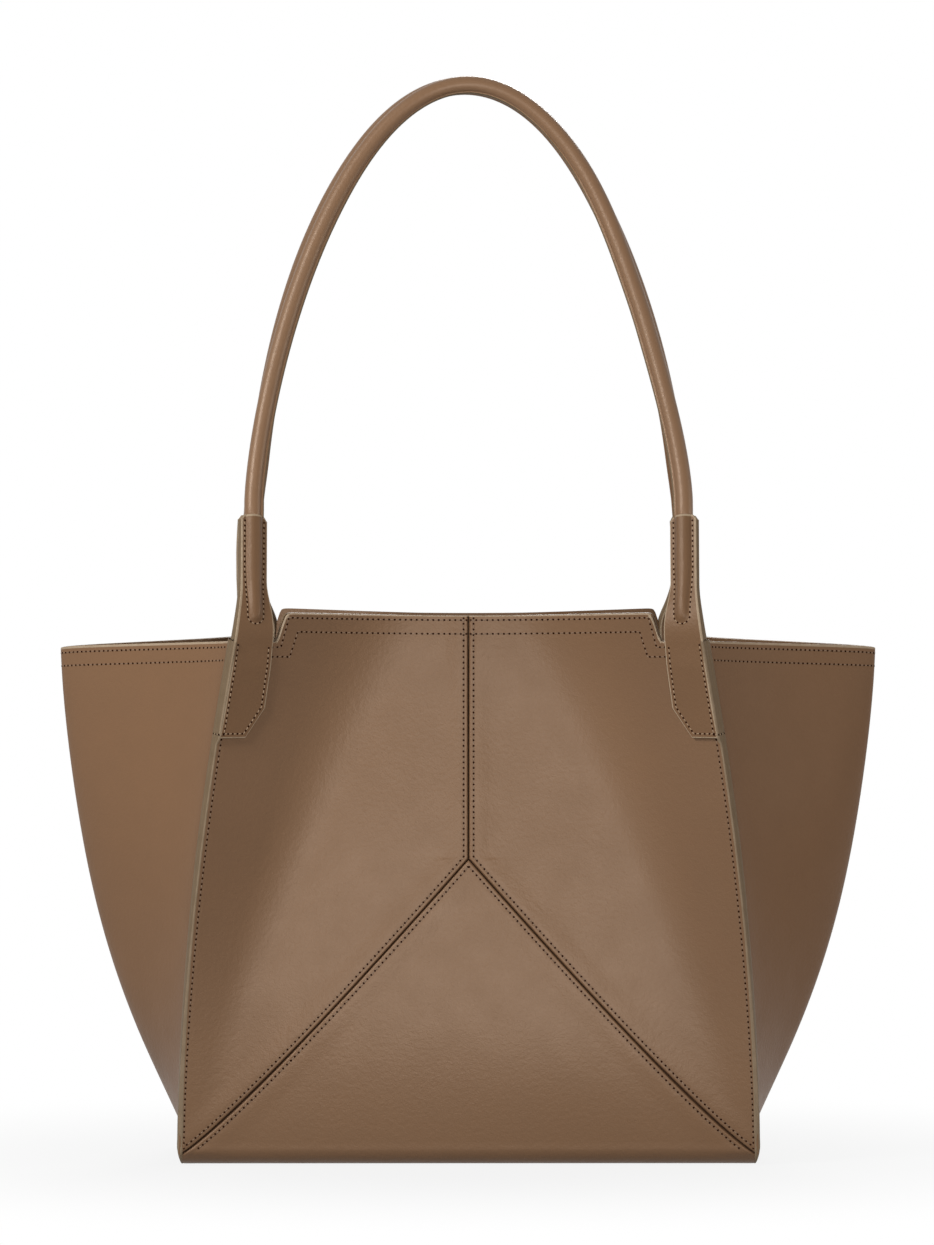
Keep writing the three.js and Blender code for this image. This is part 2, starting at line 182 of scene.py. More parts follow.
# shader maths as plain expressions
class Value:
    def __init__(self, paint, socket):
        self.paint, self.socket = paint, socket

    def calc(self, operation, first, second):
        return self.paint.node("ShaderNodeMath", {"operation": operation}, {0: first, 1: second})

    def __add__(self, other):
        return self.calc("ADD", self, other)

    def __sub__(self, other):
        return self.calc("SUBTRACT", self, other)

    def __rsub__(self, other):
        return self.calc("SUBTRACT", other, self)

    def __mul__(self, other):
        return self.calc("MULTIPLY", self, other)

    __radd__, __rmul__ = __add__, __mul__


class Paint:
    def __init__(self, tree):
        self.tree = tree

    def node(self, kind, settings=None, sockets=None, out=0):
        made = self.tree.nodes.new(kind)
        for key, value in (settings or {}).items():
            setattr(made, key, value)
        for key, value in (sockets or {}).items():
            self.feed(made.inputs[key], value)
        return Value(self, made.outputs[out])

    def feed(self, socket, value):
        if isinstance(value, Value):
            self.tree.links.new(value.socket, socket)
        else:
            socket.default_value = value

    def place(self):
        return self.node("ShaderNodeTexCoord", out="Object")

    def noise(self, where, scale, detail=2, rough=0.5):
        return self.node("ShaderNodeTexNoise", None,
                         {"Vector": where, "Scale": scale, "Detail": detail, "Roughness": rough})

    def between(self, share, first, second):
        return self.node("ShaderNodeMix", {"data_type": "RGBA"}, {0: share, 6: first, 7: second}, out=2)


def newMaterial(name):
    material = bpy.data.materials.new(name)
    material.use_nodes = True
    paint = Paint(material.node_tree)
    return material, paint, material.node_tree.nodes["Principled BSDF"]


def shade(paint, shader, color, roughness, height=None, strength=0.2, distance=0.0002):
    paint.feed(shader.inputs["Base Color"], color)
    paint.feed(shader.inputs["Roughness"], roughness)
    if height is not None:
        bump = paint.node("ShaderNodeBump", None,
                          {"Height": height, "Strength": strength, "Distance": distance})
        paint.feed(shader.inputs["Normal"], bump)


def setGloss(shader, level, cast=(1, 1, 1, 1)):
    shader.inputs["Specular IOR Level"].default_value = level
    shader.inputs["Specular Tint"].default_value = cast


# brown calf: depth darkens or lightens it and cast shifts its colour, which makes lit and shaded copies of
# one leather (painted light and shade)
leatherLook = {
    "brown": (0.172, 0.0945, 0.0490), "warm": (0.178, 0.0940, 0.0460), "mottle": 0.86,
    # paintedShade is the dark colour that the seam attribute paints in as shade
    "paintedShade": (0.026, 0.009, 0.004, 1), "sheen": (1.0, 0.83, 0.69, 1),
    "rough": 0.34, "bump": 0.3, "bumpDepth": 0.00022,
    # noise scales
    "broad": 11, "slow": 10, "cloud": 55, "pebble": 430, "fine": 900, "cells": 1250, "pores": 2600,
}


def makeLeather(name, depth=1.0, grain=1.0, gloss=0.4, cast=(1, 1, 1)):
    def tone(which, factor):
        return tuple(c * factor * k for c, k in zip(look[which], cast)) + (1,)

    look = leatherLook
    material, paint, shader = newMaterial(name)
    place = paint.place()
    broad = paint.noise(place, look["broad"], 3)
    slow = paint.noise(place, look["slow"], 0)
    pebble = paint.noise(place, look["pebble"])
    cloud = paint.noise(place, look["cloud"], 3)
    fine = paint.noise(place, look["fine"])
    cells = paint.node("ShaderNodeTexVoronoi", {"feature": "SMOOTH_F1"},
                       {"Vector": place, "Scale": look["cells"], "Smoothness": 0.6})
    pores = paint.noise(place, look["pores"], 1)
    # the seam attribute mixes in painted shade: seam grooves, stitch rows, flanks, hem and the roll under the
    # bag
    seam = paint.node("ShaderNodeAttribute", {"attribute_name": "seam"}, out="Fac")
    base = paint.between(broad, tone("brown", depth), tone("warm", depth))
    spots = 0.5 * cloud + 0.3 * fine + 0.2 * pebble - 0.2
    mottled = paint.between(spots, base, tone("brown", depth * look["mottle"]))
    color = paint.between(seam, mottled, look["paintedShade"])
    rough = look["rough"] + 0.10 * cloud + 0.05 * fine + seam * 0.3
    height = cells * (0.7 * grain) + pores * (0.35 * grain) + cloud * 1.2 + pebble * (2.4 * grain) + slow * 36
    shade(paint, shader, color, rough, height, look["bump"], look["bumpDepth"])
    setGloss(shader, gloss, look["sheen"])
    return material


# paint of the cut edges, olive and worn; the rim, tab and lip copies are painted lighter, partly a painted
# highlight where the rounded edges catch the light
edgeLooks = {
    "edgePaint": ((0.130, 0.088, 0.048, 1), (0.178, 0.124, 0.074, 1)),
    "rimPaintAndHighlight": ((0.28, 0.200, 0.130, 1), (0.42, 0.33, 0.235, 1)),
    "tabPaintAndHighlight": ((0.265, 0.192, 0.124, 1), (0.40, 0.305, 0.212, 1)),
    "lipPaintAndHighlight": ((0.175, 0.124, 0.077, 1), (0.26, 0.192, 0.126, 1)),
}


def makeEdgePaint(name):
    material, paint, shader = newMaterial(name)
    place = paint.place()
    smear = paint.noise(place, 160, 3)
    beads = paint.noise(place, 900)
    shade(paint, shader, paint.between(smear, *edgeLooks[name]), 0.46 + 0.16 * beads, smear + 0.5 * beads)
    setGloss(shader, 0.16, leatherLook["sheen"])
    return material


liningLook = {"brown": (0.052, 0.030, 0.018, 1), "light": (0.076, 0.045, 0.027, 1),
              "warp": 330, "weft": 620, "slub": 240}


def makeLining():
    material, paint, shader = newMaterial("liningTwill")
    flat = paint.node("ShaderNodeUVMap", {"uv_map": "UVMap"})
    warp = paint.node("ShaderNodeTexWave", {"bands_direction": "DIAGONAL"},
                      {"Vector": flat, "Scale": liningLook["warp"], "Distortion": 0.4, "Detail": 1})
    weft = paint.node("ShaderNodeTexWave", {"bands_direction": "X"},
                      {"Vector": flat, "Scale": liningLook["weft"], "Distortion": 0.3})
    slub = paint.noise(flat, liningLook["slub"], 3)
    weave = warp * 0.7 + weft * 0.3
    color = paint.between(weave * 0.6 + slub * 0.4, liningLook["brown"], liningLook["light"])
    shade(paint, shader, color, 0.78 + 0.12 * slub, weave, 0.35, 0.0003)
    setGloss(shader, 0.2)
    return material


# small and hidden finishes: two tones, noise scale and detail, roughness and its spread, bump and its depth
plainLooks = {
    # the body thread is a darker copy of the tab thread, partly painted shade
    "bodyThreadShaded": ((0.125, 0.072, 0.041, 1), (0.25, 0.168, 0.108, 1), 2200, 1, 0.5, 0.2, 0.4, 0.0001),
    "tabThread": ((0.22, 0.14, 0.082, 1), (0.42, 0.30, 0.19, 1), 2200, 1, 0.5, 0.2, 0.4, 0.0001),
    "needleHoleShade": ((0.014, 0.004, 0.002, 1), (0.030, 0.010, 0.005, 1), 1500, 1, 0.8, 0.1, 0, 0),
    "boardGrey": ((0.22, 0.19, 0.15, 1), (0.29, 0.26, 0.22, 1), 300, 4, 0.8, 0.08, 0.3, 0.0003),
    "cordCotton": ((0.62, 0.56, 0.46, 1), (0.74, 0.69, 0.59, 1), 700, 4, 0.85, 0.08, 0.3, 0.0003),
}


def makePlain(name, noiseRough=0.5):
    first, second, scale, detail, rough, vary, bump, bumpDepth = plainLooks[name]
    material, paint, shader = newMaterial(name)
    fleck = paint.noise(paint.place(), scale, detail, noiseRough)
    height = fleck if bump else None
    shade(paint, shader, paint.between(fleck, first, second), rough + vary * fleck, height, bump, bumpDepth)
    return material


# the wing and handle copies are painted lighter and the tab copy darker: lit and shaded copies of the body
# leather, painted light and shade
bodyLeather = makeLeather("bodyLeather")
wingLeatherLit = makeLeather("wingLeatherLit", depth=1.21, gloss=0.07, cast=(0.965, 1.0, 1.08))
tabLeatherShaded = makeLeather("tabLeatherShaded", depth=0.88, gloss=0.25)
handleLeatherLit = makeLeather("handleLeatherLit", depth=1.06, grain=0.8, gloss=0.5)
edgePaint, rimPaintAndHighlight, tabPaintAndHighlight, lipPaintAndHighlight = [makeEdgePaint(name) for name in edgeLooks]
liningTwill = makeLining()
bodyThreadShaded, tabThread, needleHoleShade = [makePlain(name) for name in ("bodyThreadShaded", "tabThread", "needleHoleShade")]
# the needle hole is a near-black disc, painted shade in the hole
setGloss(needleHoleShade.node_tree.nodes["Principled BSDF"], 0.0)
boardGrey, cordCotton = [makePlain(name, 0.6) for name in ("boardGrey", "cordCotton")]
print("materials made")


# a flat cut of leather or cloth, laid on the form and given its thickness
cut = {"middle": (0, 0, 0.15), "merge": 2e-6, "smooth": math.radians(48)}


def runningLength(points):  # along the first axis, the mean of the lines where there are several
    steps = np.linalg.norm(np.diff(points, axis=0), axis=-1)
    return np.concatenate([[0], np.cumsum(steps.reshape(len(steps), -1).mean(1))])


def editAll(*steps):  # operators and their settings, on the whole mesh of the active piece
    bpy.ops.object.mode_set(mode="EDIT")
    bpy.ops.mesh.select_all(action="SELECT")
    for operator, settings in steps:
        operator(**settings)
    bpy.ops.object.mode_set(mode="OBJECT")


def turned(axis, angle):
    return bpy.ops.transform.rotate, {"value": angle, "orient_axis": axis, "center_override": (0, 0, 0)}


def cutPiece(name, across, along, lay, thickness, materials,
             outward=None, painted=None, seam=None, close=False):
    bpy.ops.object.select_all(action="DESELECT")
    bpy.ops.mesh.primitive_grid_add(x_subdivisions=across, y_subdivisions=along, size=2)
    piece = bpy.context.object
    piece.name = piece.data.name = name
    mesh = piece.data
    flat = np.zeros(len(mesh.vertices) * 3)
    mesh.vertices.foreach_get("co", flat)
    i = np.rint((flat[0::3] + 1) / 2 * across).astype(int)
    j = np.rint((flat[1::3] + 1) / 2 * along).astype(int)
    points = lay(i, j)
    mesh.vertices.foreach_set("co", (points * mm).ravel())
    mesh.update()
    corners = np.zeros(len(mesh.loops), int)
    mesh.loops.foreach_get("vertex_index", corners)
    table = np.zeros((along + 1, across + 1, 3))
    table[j, i] = points * mm
    wide, long = runningLength(table.swapaxes(0, 1)), runningLength(table)
    mesh.uv_layers[0].name = "UVMap"
    mesh.uv_layers[0].data.foreach_set("uv", np.stack([wide[i[corners]], long[j[corners]]], -1).ravel())
    # the seam attribute carries painted shade for the leather
    if seam is not None:
        mark = mesh.attributes.new("seam", "FLOAT", "POINT")
        mark.data.foreach_set("value", seam(i, j).astype(np.float32))
    for material in materials:
        mesh.materials.append(material)
    if painted is not None:
        fours = corners.reshape(-1, 4)
        mesh.polygons.foreach_set("material_index", painted(i[fours].mean(1), j[fours].mean(1)).astype(int))
    normals, centres = np.zeros(len(mesh.polygons) * 3), np.zeros(len(mesh.polygons) * 3)
    mesh.polygons.foreach_get("normal", normals)
    mesh.polygons.foreach_get("center", centres)
    away = centres.reshape(-1, 3) - np.array(cut["middle"]) if outward is None else np.array(outward, float)
    if (normals.reshape(-1, 3) * away).sum() < 0:
        mesh.flip_normals()
    if close:
        editAll((bpy.ops.mesh.remove_doubles, {"threshold": cut["merge"]}))
    wall = piece.modifiers.new("wall", "SOLIDIFY")
    wall.thickness, wall.offset, wall.material_offset_rim = thickness * mm, -1, len(materials) - 1
    bpy.ops.object.modifier_apply(modifier="wall")
    bpy.ops.object.shade_smooth_by_angle(angle=cut["smooth"])
    return piece


def pick(*pieces):  # these alone, the first of them active
    bpy.ops.object.select_all(action="DESELECT")
    for piece in pieces:
        piece.select_set(True)
    bpy.context.view_layer.objects.active = pieces[0]


def turnRound(piece):  # half round the middle of the bag, front to back
    pick(piece)
    editAll(turned("Z", math.pi))


def turnCopy(piece, name):
    pick(piece)
    bpy.ops.object.duplicate()
    copy = bpy.context.object
    copy.name = copy.data.name = name
    turnRound(copy)
    return copy


def settle(piece, body, nodes):
    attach(piece, body)
    if nodes:
        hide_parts(*nodes)


def settleBoth(right, left, node):
    settle(right, "bag_body", ["right_" + node])
    settle(left, "bag_body", ["left_" + node])


# the forked seam: straight down the middle, then one hanging branch to each bottom corner
fork = {"height": 165, "foot": 6, "inset": 2, "sag": 5.8, "sagPlace": 0.78, "row": 2.7,
        "gape": 0.9, "gapeHeight": 36, "gapeRun": 24}
fork["corner"] = float(sideEdge(fork["foot"])) - fork["inset"]
seamSteps = np.array([0.08, 0.22, 0.4, 0.62, 0.9, 1.3, 1.8, 2.4, 3.1, 4.2, 5.8, 8, 11])
edgeSteps = np.array([13, 10, 7.8, 6.2, 5, 4, 3.2, 2.5, 1.8, 1.1, 0.6, 0.3])
branchStep = np.linspace(0, 1, 300)
branchPull = 2 * branchStep * (1 - branchStep)
branchZ = (fork["height"] * (1 - branchStep) ** 2 + fork["foot"] * branchStep ** 2
           + branchPull * (mixed(fork["height"], fork["foot"], fork["sagPlace"]) - 2 * fork["sag"]))
branchOut = fork["corner"] * (branchStep ** 2 + branchPull * fork["sagPlace"])
branchRun = -np.gradient(branchOut, branchZ)


def branchLine(z):  # runs on straight past both of its ends
    x = np.interp(-np.asarray(z, float), -branchZ, branchOut)
    above, below = positive(z - fork["height"]), positive(fork["foot"] - z)
    return x - above * branchRun[0] + below * branchRun[-1]


def branchX(z):
    return positive(branchLine(z))


def slantAt(z):
    return np.hypot(1, np.interp(-np.asarray(z, float), -branchZ, branchRun))


def seamWidth(z):  # the branches gape a little above the corners
    return 1 + fork["gape"] * np.exp(-((z - fork["gapeHeight"]) / fork["gapeRun"]) ** 2)


def hump(d, middle, reach):
    return np.exp(-((d - middle) / reach) ** 2)


# leather beside a seam: the lips turn in, the stitches press a valley, the allowance under it lifts it
seamForm = {"lips": 1.3, "lipReach": 0.38, "lipPower": 1.7, "valley": 0.16, "valleyReach": 0.6,
            "allowance": 0.5, "allowanceEnd": (4, 11),
            "shade": 1.06, "gapeShade": 0.12, "shadeReach": 0.36, "rowShade": 0.06, "rowReach": 0.7}


def seamRelief(d, wide=1.0):  # depth of the leather, d away from the seam
    lips = seamForm["lips"] * np.exp(-(d / (seamForm["lipReach"] * wide)) ** seamForm["lipPower"])
    valley = seamForm["valley"] * hump(d, fork["row"], seamForm["valleyReach"])
    allowance = seamForm["allowance"] * ramp(d) * (1 - rise(d, *seamForm["allowanceEnd"]))
    return lips + valley - allowance


# painted shade in the seam groove and along the stitch row
def seamShade(d, wide=1.0):
    dark = seamForm["shade"] - seamForm["gapeShade"] * wide
    paintedShade = dark * np.exp(-(d / (seamForm["shadeReach"] * wide)) ** 3)
    return paintedShade + seamForm["rowShade"] * hump(d, fork["row"], seamForm["rowReach"])


# upper panels: columns crowd beside the seam and the side edge, rows beside the top edge
panel = {"narrow": 46, "hemFrom": 228, "edgeRound": 0.7, "edgeDrop": 0.3, "edgeReach": 0.3,
         "row": 2.7, "valley": 0.14, "valleyReach": 0.6, "rowShade": 0.06, "rowReach": 0.7,
         "flankShade": 0.14, "flank": (-66, 52), "flankRise": (20, 90),
         "topShade": 0.06, "topRise": (220, 70), "stepIn": 0.6, "stepOut": 1.2,
         "paintRows": 4, "stepRows": 6}
panelLevels = np.concatenate([
    spaced(fork["foot"], (fork["height"] - 5, 60), (fork["height"] + 6, 15),
           (bagHeight - 42, 34), (bagHeight - 3, 22)),
    bagHeight - np.array([1.8, 1, 0.5, 0.25, 0.08, 0])])
panelMiddle = spaced(0, (0.78, 24), (0.985, 20))[1:]
seamCount, edgeFrom = len(seamSteps), len(seamSteps) + len(panelMiddle)
panelColumns = edgeFrom + len(edgeSteps) - 1


def panelX(i, z):
    width = sideEdge(z) - branchX(z)
    tight = np.minimum(1, width / panel["narrow"])
    flank = np.cos(edgeAngle(z)) * tight
    d = seamSteps[np.clip(i, 0, seamCount - 1)] * tight
    nearSeam = np.maximum(d, branchLine(z) + d * slantAt(z))
    last = seamSteps[-1] * tight
    seamEnd = np.maximum(last, branchLine(z) + last * slantAt(z))
    edgeStart = sideEdge(z) - edgeSteps[0] * flank
    share = panelMiddle[np.clip(i - seamCount, 0, len(panelMiddle) - 1)]
    nearEdge = sideEdge(z) - edgeSteps[np.clip(i - edgeFrom, 0, len(edgeSteps) - 1)] * flank
    x = np.where(i < seamCount, nearSeam, mixed(seamEnd, edgeStart, share))
    return np.where(i >= edgeFrom, nearEdge, x)


def seamGap(x, z):  # distance to the forked seam
    straight = np.where(z > fork["height"], x, np.hypot(x, fork["height"] - z))
    branch = np.where(z < fork["height"], (x - branchX(z)) / slantAt(z), np.hypot(x, z - fork["height"]))
    return positive(np.minimum(straight, branch))


def edgeGap(x, z):  # distance to the side edge
    return (sideEdge(z) - x) / np.cos(edgeAngle(z))


def panelPlace(i, j, out):
    level, start = panelLevels[j], panel["hemFrom"]  # the rows above the start follow the stepped top edge
    z = level
    for attempt in range(4):
        x = panelX(i, z)
        stepped = start + (level - start) * (topEdge(x, out) - start) / (bagHeight - start)
        z = np.where(level > start, stepped, level)
    return x, z, level


def layPanel(side, out):
    def lay(i, j):
        x, z, level = panelPlace(i, j, out)
        edge = edgeGap(x, z)
        depth = seamRelief(seamGap(x, z), seamWidth(z)) + roundOff(bagHeight - level, panel["edgeRound"])
        depth = depth + panel["edgeDrop"] * np.exp(-edge / panel["edgeReach"])
        depth = depth + panel["valley"] * hump(edge, panel["row"], panel["valleyReach"])
        return onSkin(side * x, wrapAt(z), depth)
    return lay


def panelSeam(out):  # painted shade: in the grooves, along the stitch rows, on the flanks and towards the hem
    def shadeAt(i, j):
        x, z, level = panelPlace(i, j, out)
        # painted shade on the flanks beside the tabs and towards the hem
        flankAndHemShade = panel["flankShade"] * rise(x - sideEdge(z), *panel["flank"]) * rise(z, *panel["flankRise"])
        flankAndHemShade = flankAndHemShade + panel["topShade"] * rise(z, *panel["topRise"])
        row = panel["rowShade"] * hump(edgeGap(x, z), panel["row"], panel["rowReach"])
        return seamShade(seamGap(x, z), seamWidth(z)) + row + flankAndHemShade
    return shadeAt


def panelPainted(out):  # the cut edge is painted as a light line, partly a painted highlight, wider down the slanted step
    def isPainted(i, j):
        topRow = np.full(len(i), len(panelLevels) - 1)
        x = panelPlace(np.rint(i).astype(int), topRow, out)[0] - form["notch"] - out
        step = (x > -panel["stepIn"]) & (x < form["notchRun"] + panel["stepOut"])
        fromTop = len(panelLevels) - j
        return (fromTop < panel["paintRows"]) | (step & (fromTop < panel["stepRows"]))
    return isPainted


def makePanel(name, side, out):
    return cutPiece(name, panelColumns, len(panelLevels) - 1, layPanel(side, out), leatherThick,
                    [bodyLeather, rimPaintAndHighlight], seam=panelSeam(out), painted=panelPainted(out))


for sideName, side, other in sides:
    front = makePanel("front" + sideName + "Panel", side, form["notchOut"]["front"])
    back = makePanel("back" + other + "Panel", side, form["notchOut"]["back"])
    turnRound(back)
    settle(front, "bag_body", ["front_%s_panel" % sideName.lower()])
    settle(back, "bag_body", ["back_%s_panel" % other.lower()])
print("upper panels laid")


# base wrap: front triangle, bottom and back triangle in one cut
under = {"inner": 30, "narrow": 22, "clear": 0.3, "corner": (1.64, 0.09), "edgeDrop": 0.3, "edgeReach": 0.4,
         "rollShade": 0.14, "shadeRise": (-2.03, 0.25)}
wrapDrops = np.concatenate([[0, 0.15, 0.35, 0.6, 0.95, 1.4, 2.1, 3, 4.2, 5.8, 7.8, 10.2, 13],
                            np.linspace(16, fork["height"] - roll, 52)])
wrapHalf = np.concatenate([2 + (fork["height"] - wrapDrops - roll) / wallHeight,
                           spaced(2, (1, 13), (0, 14))[1:]])
wrapRows = mirrored(-wrapHalf)
wrapMiddle = under["inner"] + seamCount
wrapColumns = 2 * wrapMiddle


def wrapPlace(i, j):
    wrap = wrapRows[j]
    reach = np.abs(wrap)
    z = np.where(reach > 2, heightAt(reach), roll * (1 - np.cos(rollAngle(reach))))
    low = rise(reach, *under["corner"])
    foot = mixed(footEdge(reach) - under["clear"], np.minimum(branchX(z), fork["corner"]), low)
    half = np.where(reach > 2, branchX(z), foot)
    tight = np.minimum(1, half / under["narrow"])
    column = np.abs(i - wrapMiddle)
    slant = slantAt(z)
    inner = half - seamSteps[-1] * slant * tight
    gap = seamSteps[np.clip(wrapMiddle - column, 0, seamCount - 1)] * tight
    x = np.where(column <= under["inner"], inner * column / under["inner"], half - gap * slant)
    d = (half - x) / slant
    return np.sign(i - wrapMiddle) * x, wrap, d, low, seamWidth(z)


def layWrap(i, j):
    x, wrap, d, low, wide = wrapPlace(i, j)
    drop = under["edgeDrop"] * (1 - low) * np.exp(-d / under["edgeReach"])
    return onSkin(x, wrap, seamRelief(d, wide) * low + drop)


def wrapSeam(i, j):  # painted shade where the leather rolls under, and in the seam grooves
    x, wrap, d, low, wide = wrapPlace(i, j)
    return seamShade(d, wide) * low + under["rollShade"] * rise(-np.abs(wrap), *under["shadeRise"])


baseWrap = cutPiece("baseWrap", wrapColumns, len(wrapRows) - 1, layWrap, leatherThick,
                    [bodyLeather, edgePaint], seam=wrapSeam, close=True)
settle(baseWrap, "bag_body", ["base_wrap"])
print("base wrap laid")


# gussets: from the front welt out to a soft fold and back to the rear welt
wing = {"span": 446, "footSpan": 294, "swell": 1.93, "droop": 4, "tipRound": 12, "footCorner": 8, "root": 6.9,
        "seamInset": 3, "wave": 0.7, "waveRise": 60, "across": 76, "paintRows": 5,
        "waves": ((1, 33, 9, 0), (0.7, 51, -14, 1))}  # share, run up, turn across, start


def wingSkin(u, h):
    out = 1 - np.abs(2 * u - 1)
    v = (h - roll) / (rimHeight - roll)
    seam = sideEdge(h) - wing["seamInset"]
    wrap = wrapAt(h)
    start, leave = onSkin(seam, wrap, wing["root"]), skinNormal(seam, wrap)
    spreading = 1 - positive(1 - h / rimHeight) ** wing["swell"]
    tip = mixed(wing["footSpan"], wing["span"], spreading) / 2
    pull = np.hypot(tip - start[..., 0], start[..., 1]) / 3
    a, b, c, d = (1 - out) ** 3, 3 * (1 - out) ** 2 * out, 3 * (1 - out) * out ** 2, out ** 3
    x = a * start[..., 0] + b * (start[..., 0] + leave[..., 0] * pull) + (c + d) * tip
    y = a * start[..., 1] + b * (start[..., 1] + leave[..., 1] * pull) - c * wing["tipRound"]
    z = mixed(mixed(wing["root"], rimHeight - wing["droop"], v), start[..., 2],
              (1 - out) ** mixed(wing["footCorner"], 1, v))
    return np.stack([x, np.where(u < 0.5, y, -y), z], -1)


def onWing(u, h, depth):
    step = 1e-3
    across = wingSkin(u + step, h) - wingSkin(u - step, h)
    normal = unit(np.cross(across, wingSkin(u, h + step) - wingSkin(u, h - step)))
    loose = np.sin(np.pi * u) ** 2 * rise(h, roll, wing["waveRise"])
    wave = sum(share * np.sin(h / up + turn * u + start) for share, up, turn, start in wing["waves"])
    return wingSkin(u, h) + normal * (wing["wave"] * loose * wave - depth)[..., None]


wingLevels = np.concatenate([spaced(roll, (rimHeight - 14, 66), (rimHeight - 2, 8)),
                             rimHeight - np.array([1.2, 0.7, 0.4, 0.15, 0])])


def layWing(i, j):
    h = wingLevels[j]
    return onWing(i / wing["across"], h, roundOff(rimHeight - h))


def wingPainted(i, j):
    return len(wingLevels) - j < wing["paintRows"]


rightWing = cutPiece("rightWing", wing["across"], len(wingLevels) - 1, layWing, leatherThick,
                     [wingLeatherLit, rimPaintAndHighlight], painted=wingPainted)
settleBoth(rightWing, turnCopy(rightWing, "leftWing"), "gusset")
print("wings laid")


# welts: the painted, built-up edge down the front, under the bag and up the back
welt = {"over": 1, "back": 6.5, "wall": 0.2, "core": 0.3, "tabFoot": 230, "tabFront": -2.32,
        "fold": (1.3, 0.7), "low": (15, 130), "lipFrom": 0.3, "lipSteps": 4, "lipIn": 0.9, "edgeOut": 0.45,
        "lipRise": 0.12, "cornerRise": 0.45, "corner": (8, 26)}
weltTop = -2 - (rimHeight + welt["over"] - roll) / wallHeight
weltRows = mirrored(spaced(weltTop, (-2, 100), (-1, 13), (0, 14)))
weltSection = np.array([  # inset from the side edge, share of the thickness from the front
    (1.3, 0.035), (0.75, 0.0), (0.35, 0.0), (0.05, 0.02), (-0.16, 0.075), (-0.24, 0.16),
    (-0.24, 0.24), (-0.1, 0.3), (-0.24, 0.36), (-0.3, 0.6), (-0.26, 0.84), (-0.1, 0.93),
    (0.2, 0.985), (0.7, 1.0), (6, 1.0), (6, 0.37), (1.3, 0.37), (1.3, 0.035)])


def layWelt(i, j):
    wrap = weltRows[j]
    reach = np.abs(wrap)
    z = heightAt(reach)
    inset, share = weltSection[i].T
    core = welt["core"]
    front = np.where(z > welt["tabFoot"], welt["tabFront"], 0.0)
    depth = np.where(share > core, share * welt["back"], mixed(front, core * welt["back"], share / core))
    # the painted edge shows wider near the floor, and stands over the raised leather in the corner
    low = rise(reach, *welt["fold"]) * (1 - rise(z, *welt["low"]))
    lip = low * ((share < core) & (inset > welt["lipFrom"]))
    inset = inset + np.where(inset < welt["lipFrom"], -welt["edgeOut"] * low, welt["lipIn"] * lip)
    depth = depth - lip * (welt["lipRise"] + welt["cornerRise"] * (1 - rise(z, *welt["corner"])))
    turn = np.where(reach > 2, np.cos(edgeAngle(z)), np.cos(form["baseTurn"]))
    return onSkin(np.where(reach > 2, sideEdge(z), footEdge(reach)) - inset * turn, wrap, depth)


def weltPainted(i, j):  # the lip beside the front leather is painted lighter, a painted highlight along its edge
    return i < welt["lipSteps"]


rightWelt = cutPiece("rightWelt", len(weltSection) - 1, len(weltRows) - 1, layWelt, welt["wall"],
                     [edgePaint, lipPaintAndHighlight], painted=weltPainted, close=True)
settleBoth(rightWelt, turnCopy(rightWelt, "leftWelt"), "seam_welt")
print("welts laid")


# inside: linings, base lining and the leather facings along the mouth
inside = {"liningDepth": 2.15, "lining": 0.8, "liningTop": 18.4, "liningFrom": 1.25, "margin": 6.8,
          "across": 60, "ripple": 0.12, "rippleRuns": (9, 23, 31),
          "facingDepth": 2.05, "facing": 1.2, "facingTop": 0.15, "hem": 18}
liningReach = np.concatenate([np.linspace(inside["liningFrom"], 2, 8),
                              2 + np.linspace(0, wallHeight - inside["liningTop"], 60)[1:] / wallHeight])


def layLining(i, j):
    reach = liningReach[j]
    z = heightAt(reach)
    x = (2 * i / inside["across"] - 1) * (sideEdge(z) - inside["margin"])
    across, up, swell = inside["rippleRuns"]
    ripple = inside["ripple"] * np.sin(x / across + z / up) * np.sin(z / swell)
    return onSkin(x, -reach, inside["liningDepth"] + ripple)


facingRise = np.concatenate([np.linspace(0, 0.9, 12), [0.95, 0.975, 0.99, 1]])
facingX = mirrored(-spaced(0, (90, 24), (106, 18), (118, 6))[::-1])


def layFacing(out):
    def lay(i, j):
        x = facingX[i]
        z = mixed(bagHeight - inside["hem"], topEdge(x, out) - inside["facingTop"], facingRise[j])
        return onSkin(x, wrapAt(z), inside["facingDepth"])
    return lay


def makeFacing(end):
    return cutPiece(end + "Facing", len(facingX) - 1, len(facingRise) - 1, layFacing(form["notchOut"][end]),
                    inside["facing"], [tabLeatherShaded, edgePaint])


frontLining = cutPiece("frontLining", inside["across"], len(liningReach) - 1, layLining,
                       inside["lining"], [liningTwill])
frontFacing = makeFacing("front")
backLining = turnCopy(frontLining, "backLining")
backFacing = makeFacing("back")
turnRound(backFacing)


wingInside = {"across": 50, "along": 60, "foot": 12, "gap": 0.3, "liningEnds": (0.012, 0.988),
              "ripple": 0.1, "rippleUp": 17, "rippleAcross": 4,
              "facingAcross": 60, "facingEnds": (0.006, 0.994), "facingTop": 0.1}


def layWingLining(i, j):
    h = mixed(wingInside["foot"], rimHeight - inside["hem"] - wingInside["gap"], j / wingInside["along"])
    ripple = wingInside["ripple"] * np.sin(h / wingInside["rippleUp"] + i / wingInside["rippleAcross"])
    u = mixed(*wingInside["liningEnds"], i / wingInside["across"])
    return onWing(u, h, inside["liningDepth"] + ripple)


def layWingFacing(i, j):
    h = mixed(rimHeight - inside["hem"], rimHeight - wingInside["facingTop"], facingRise[j])
    return onWing(mixed(*wingInside["facingEnds"], i / wingInside["facingAcross"]), h, inside["facingDepth"])


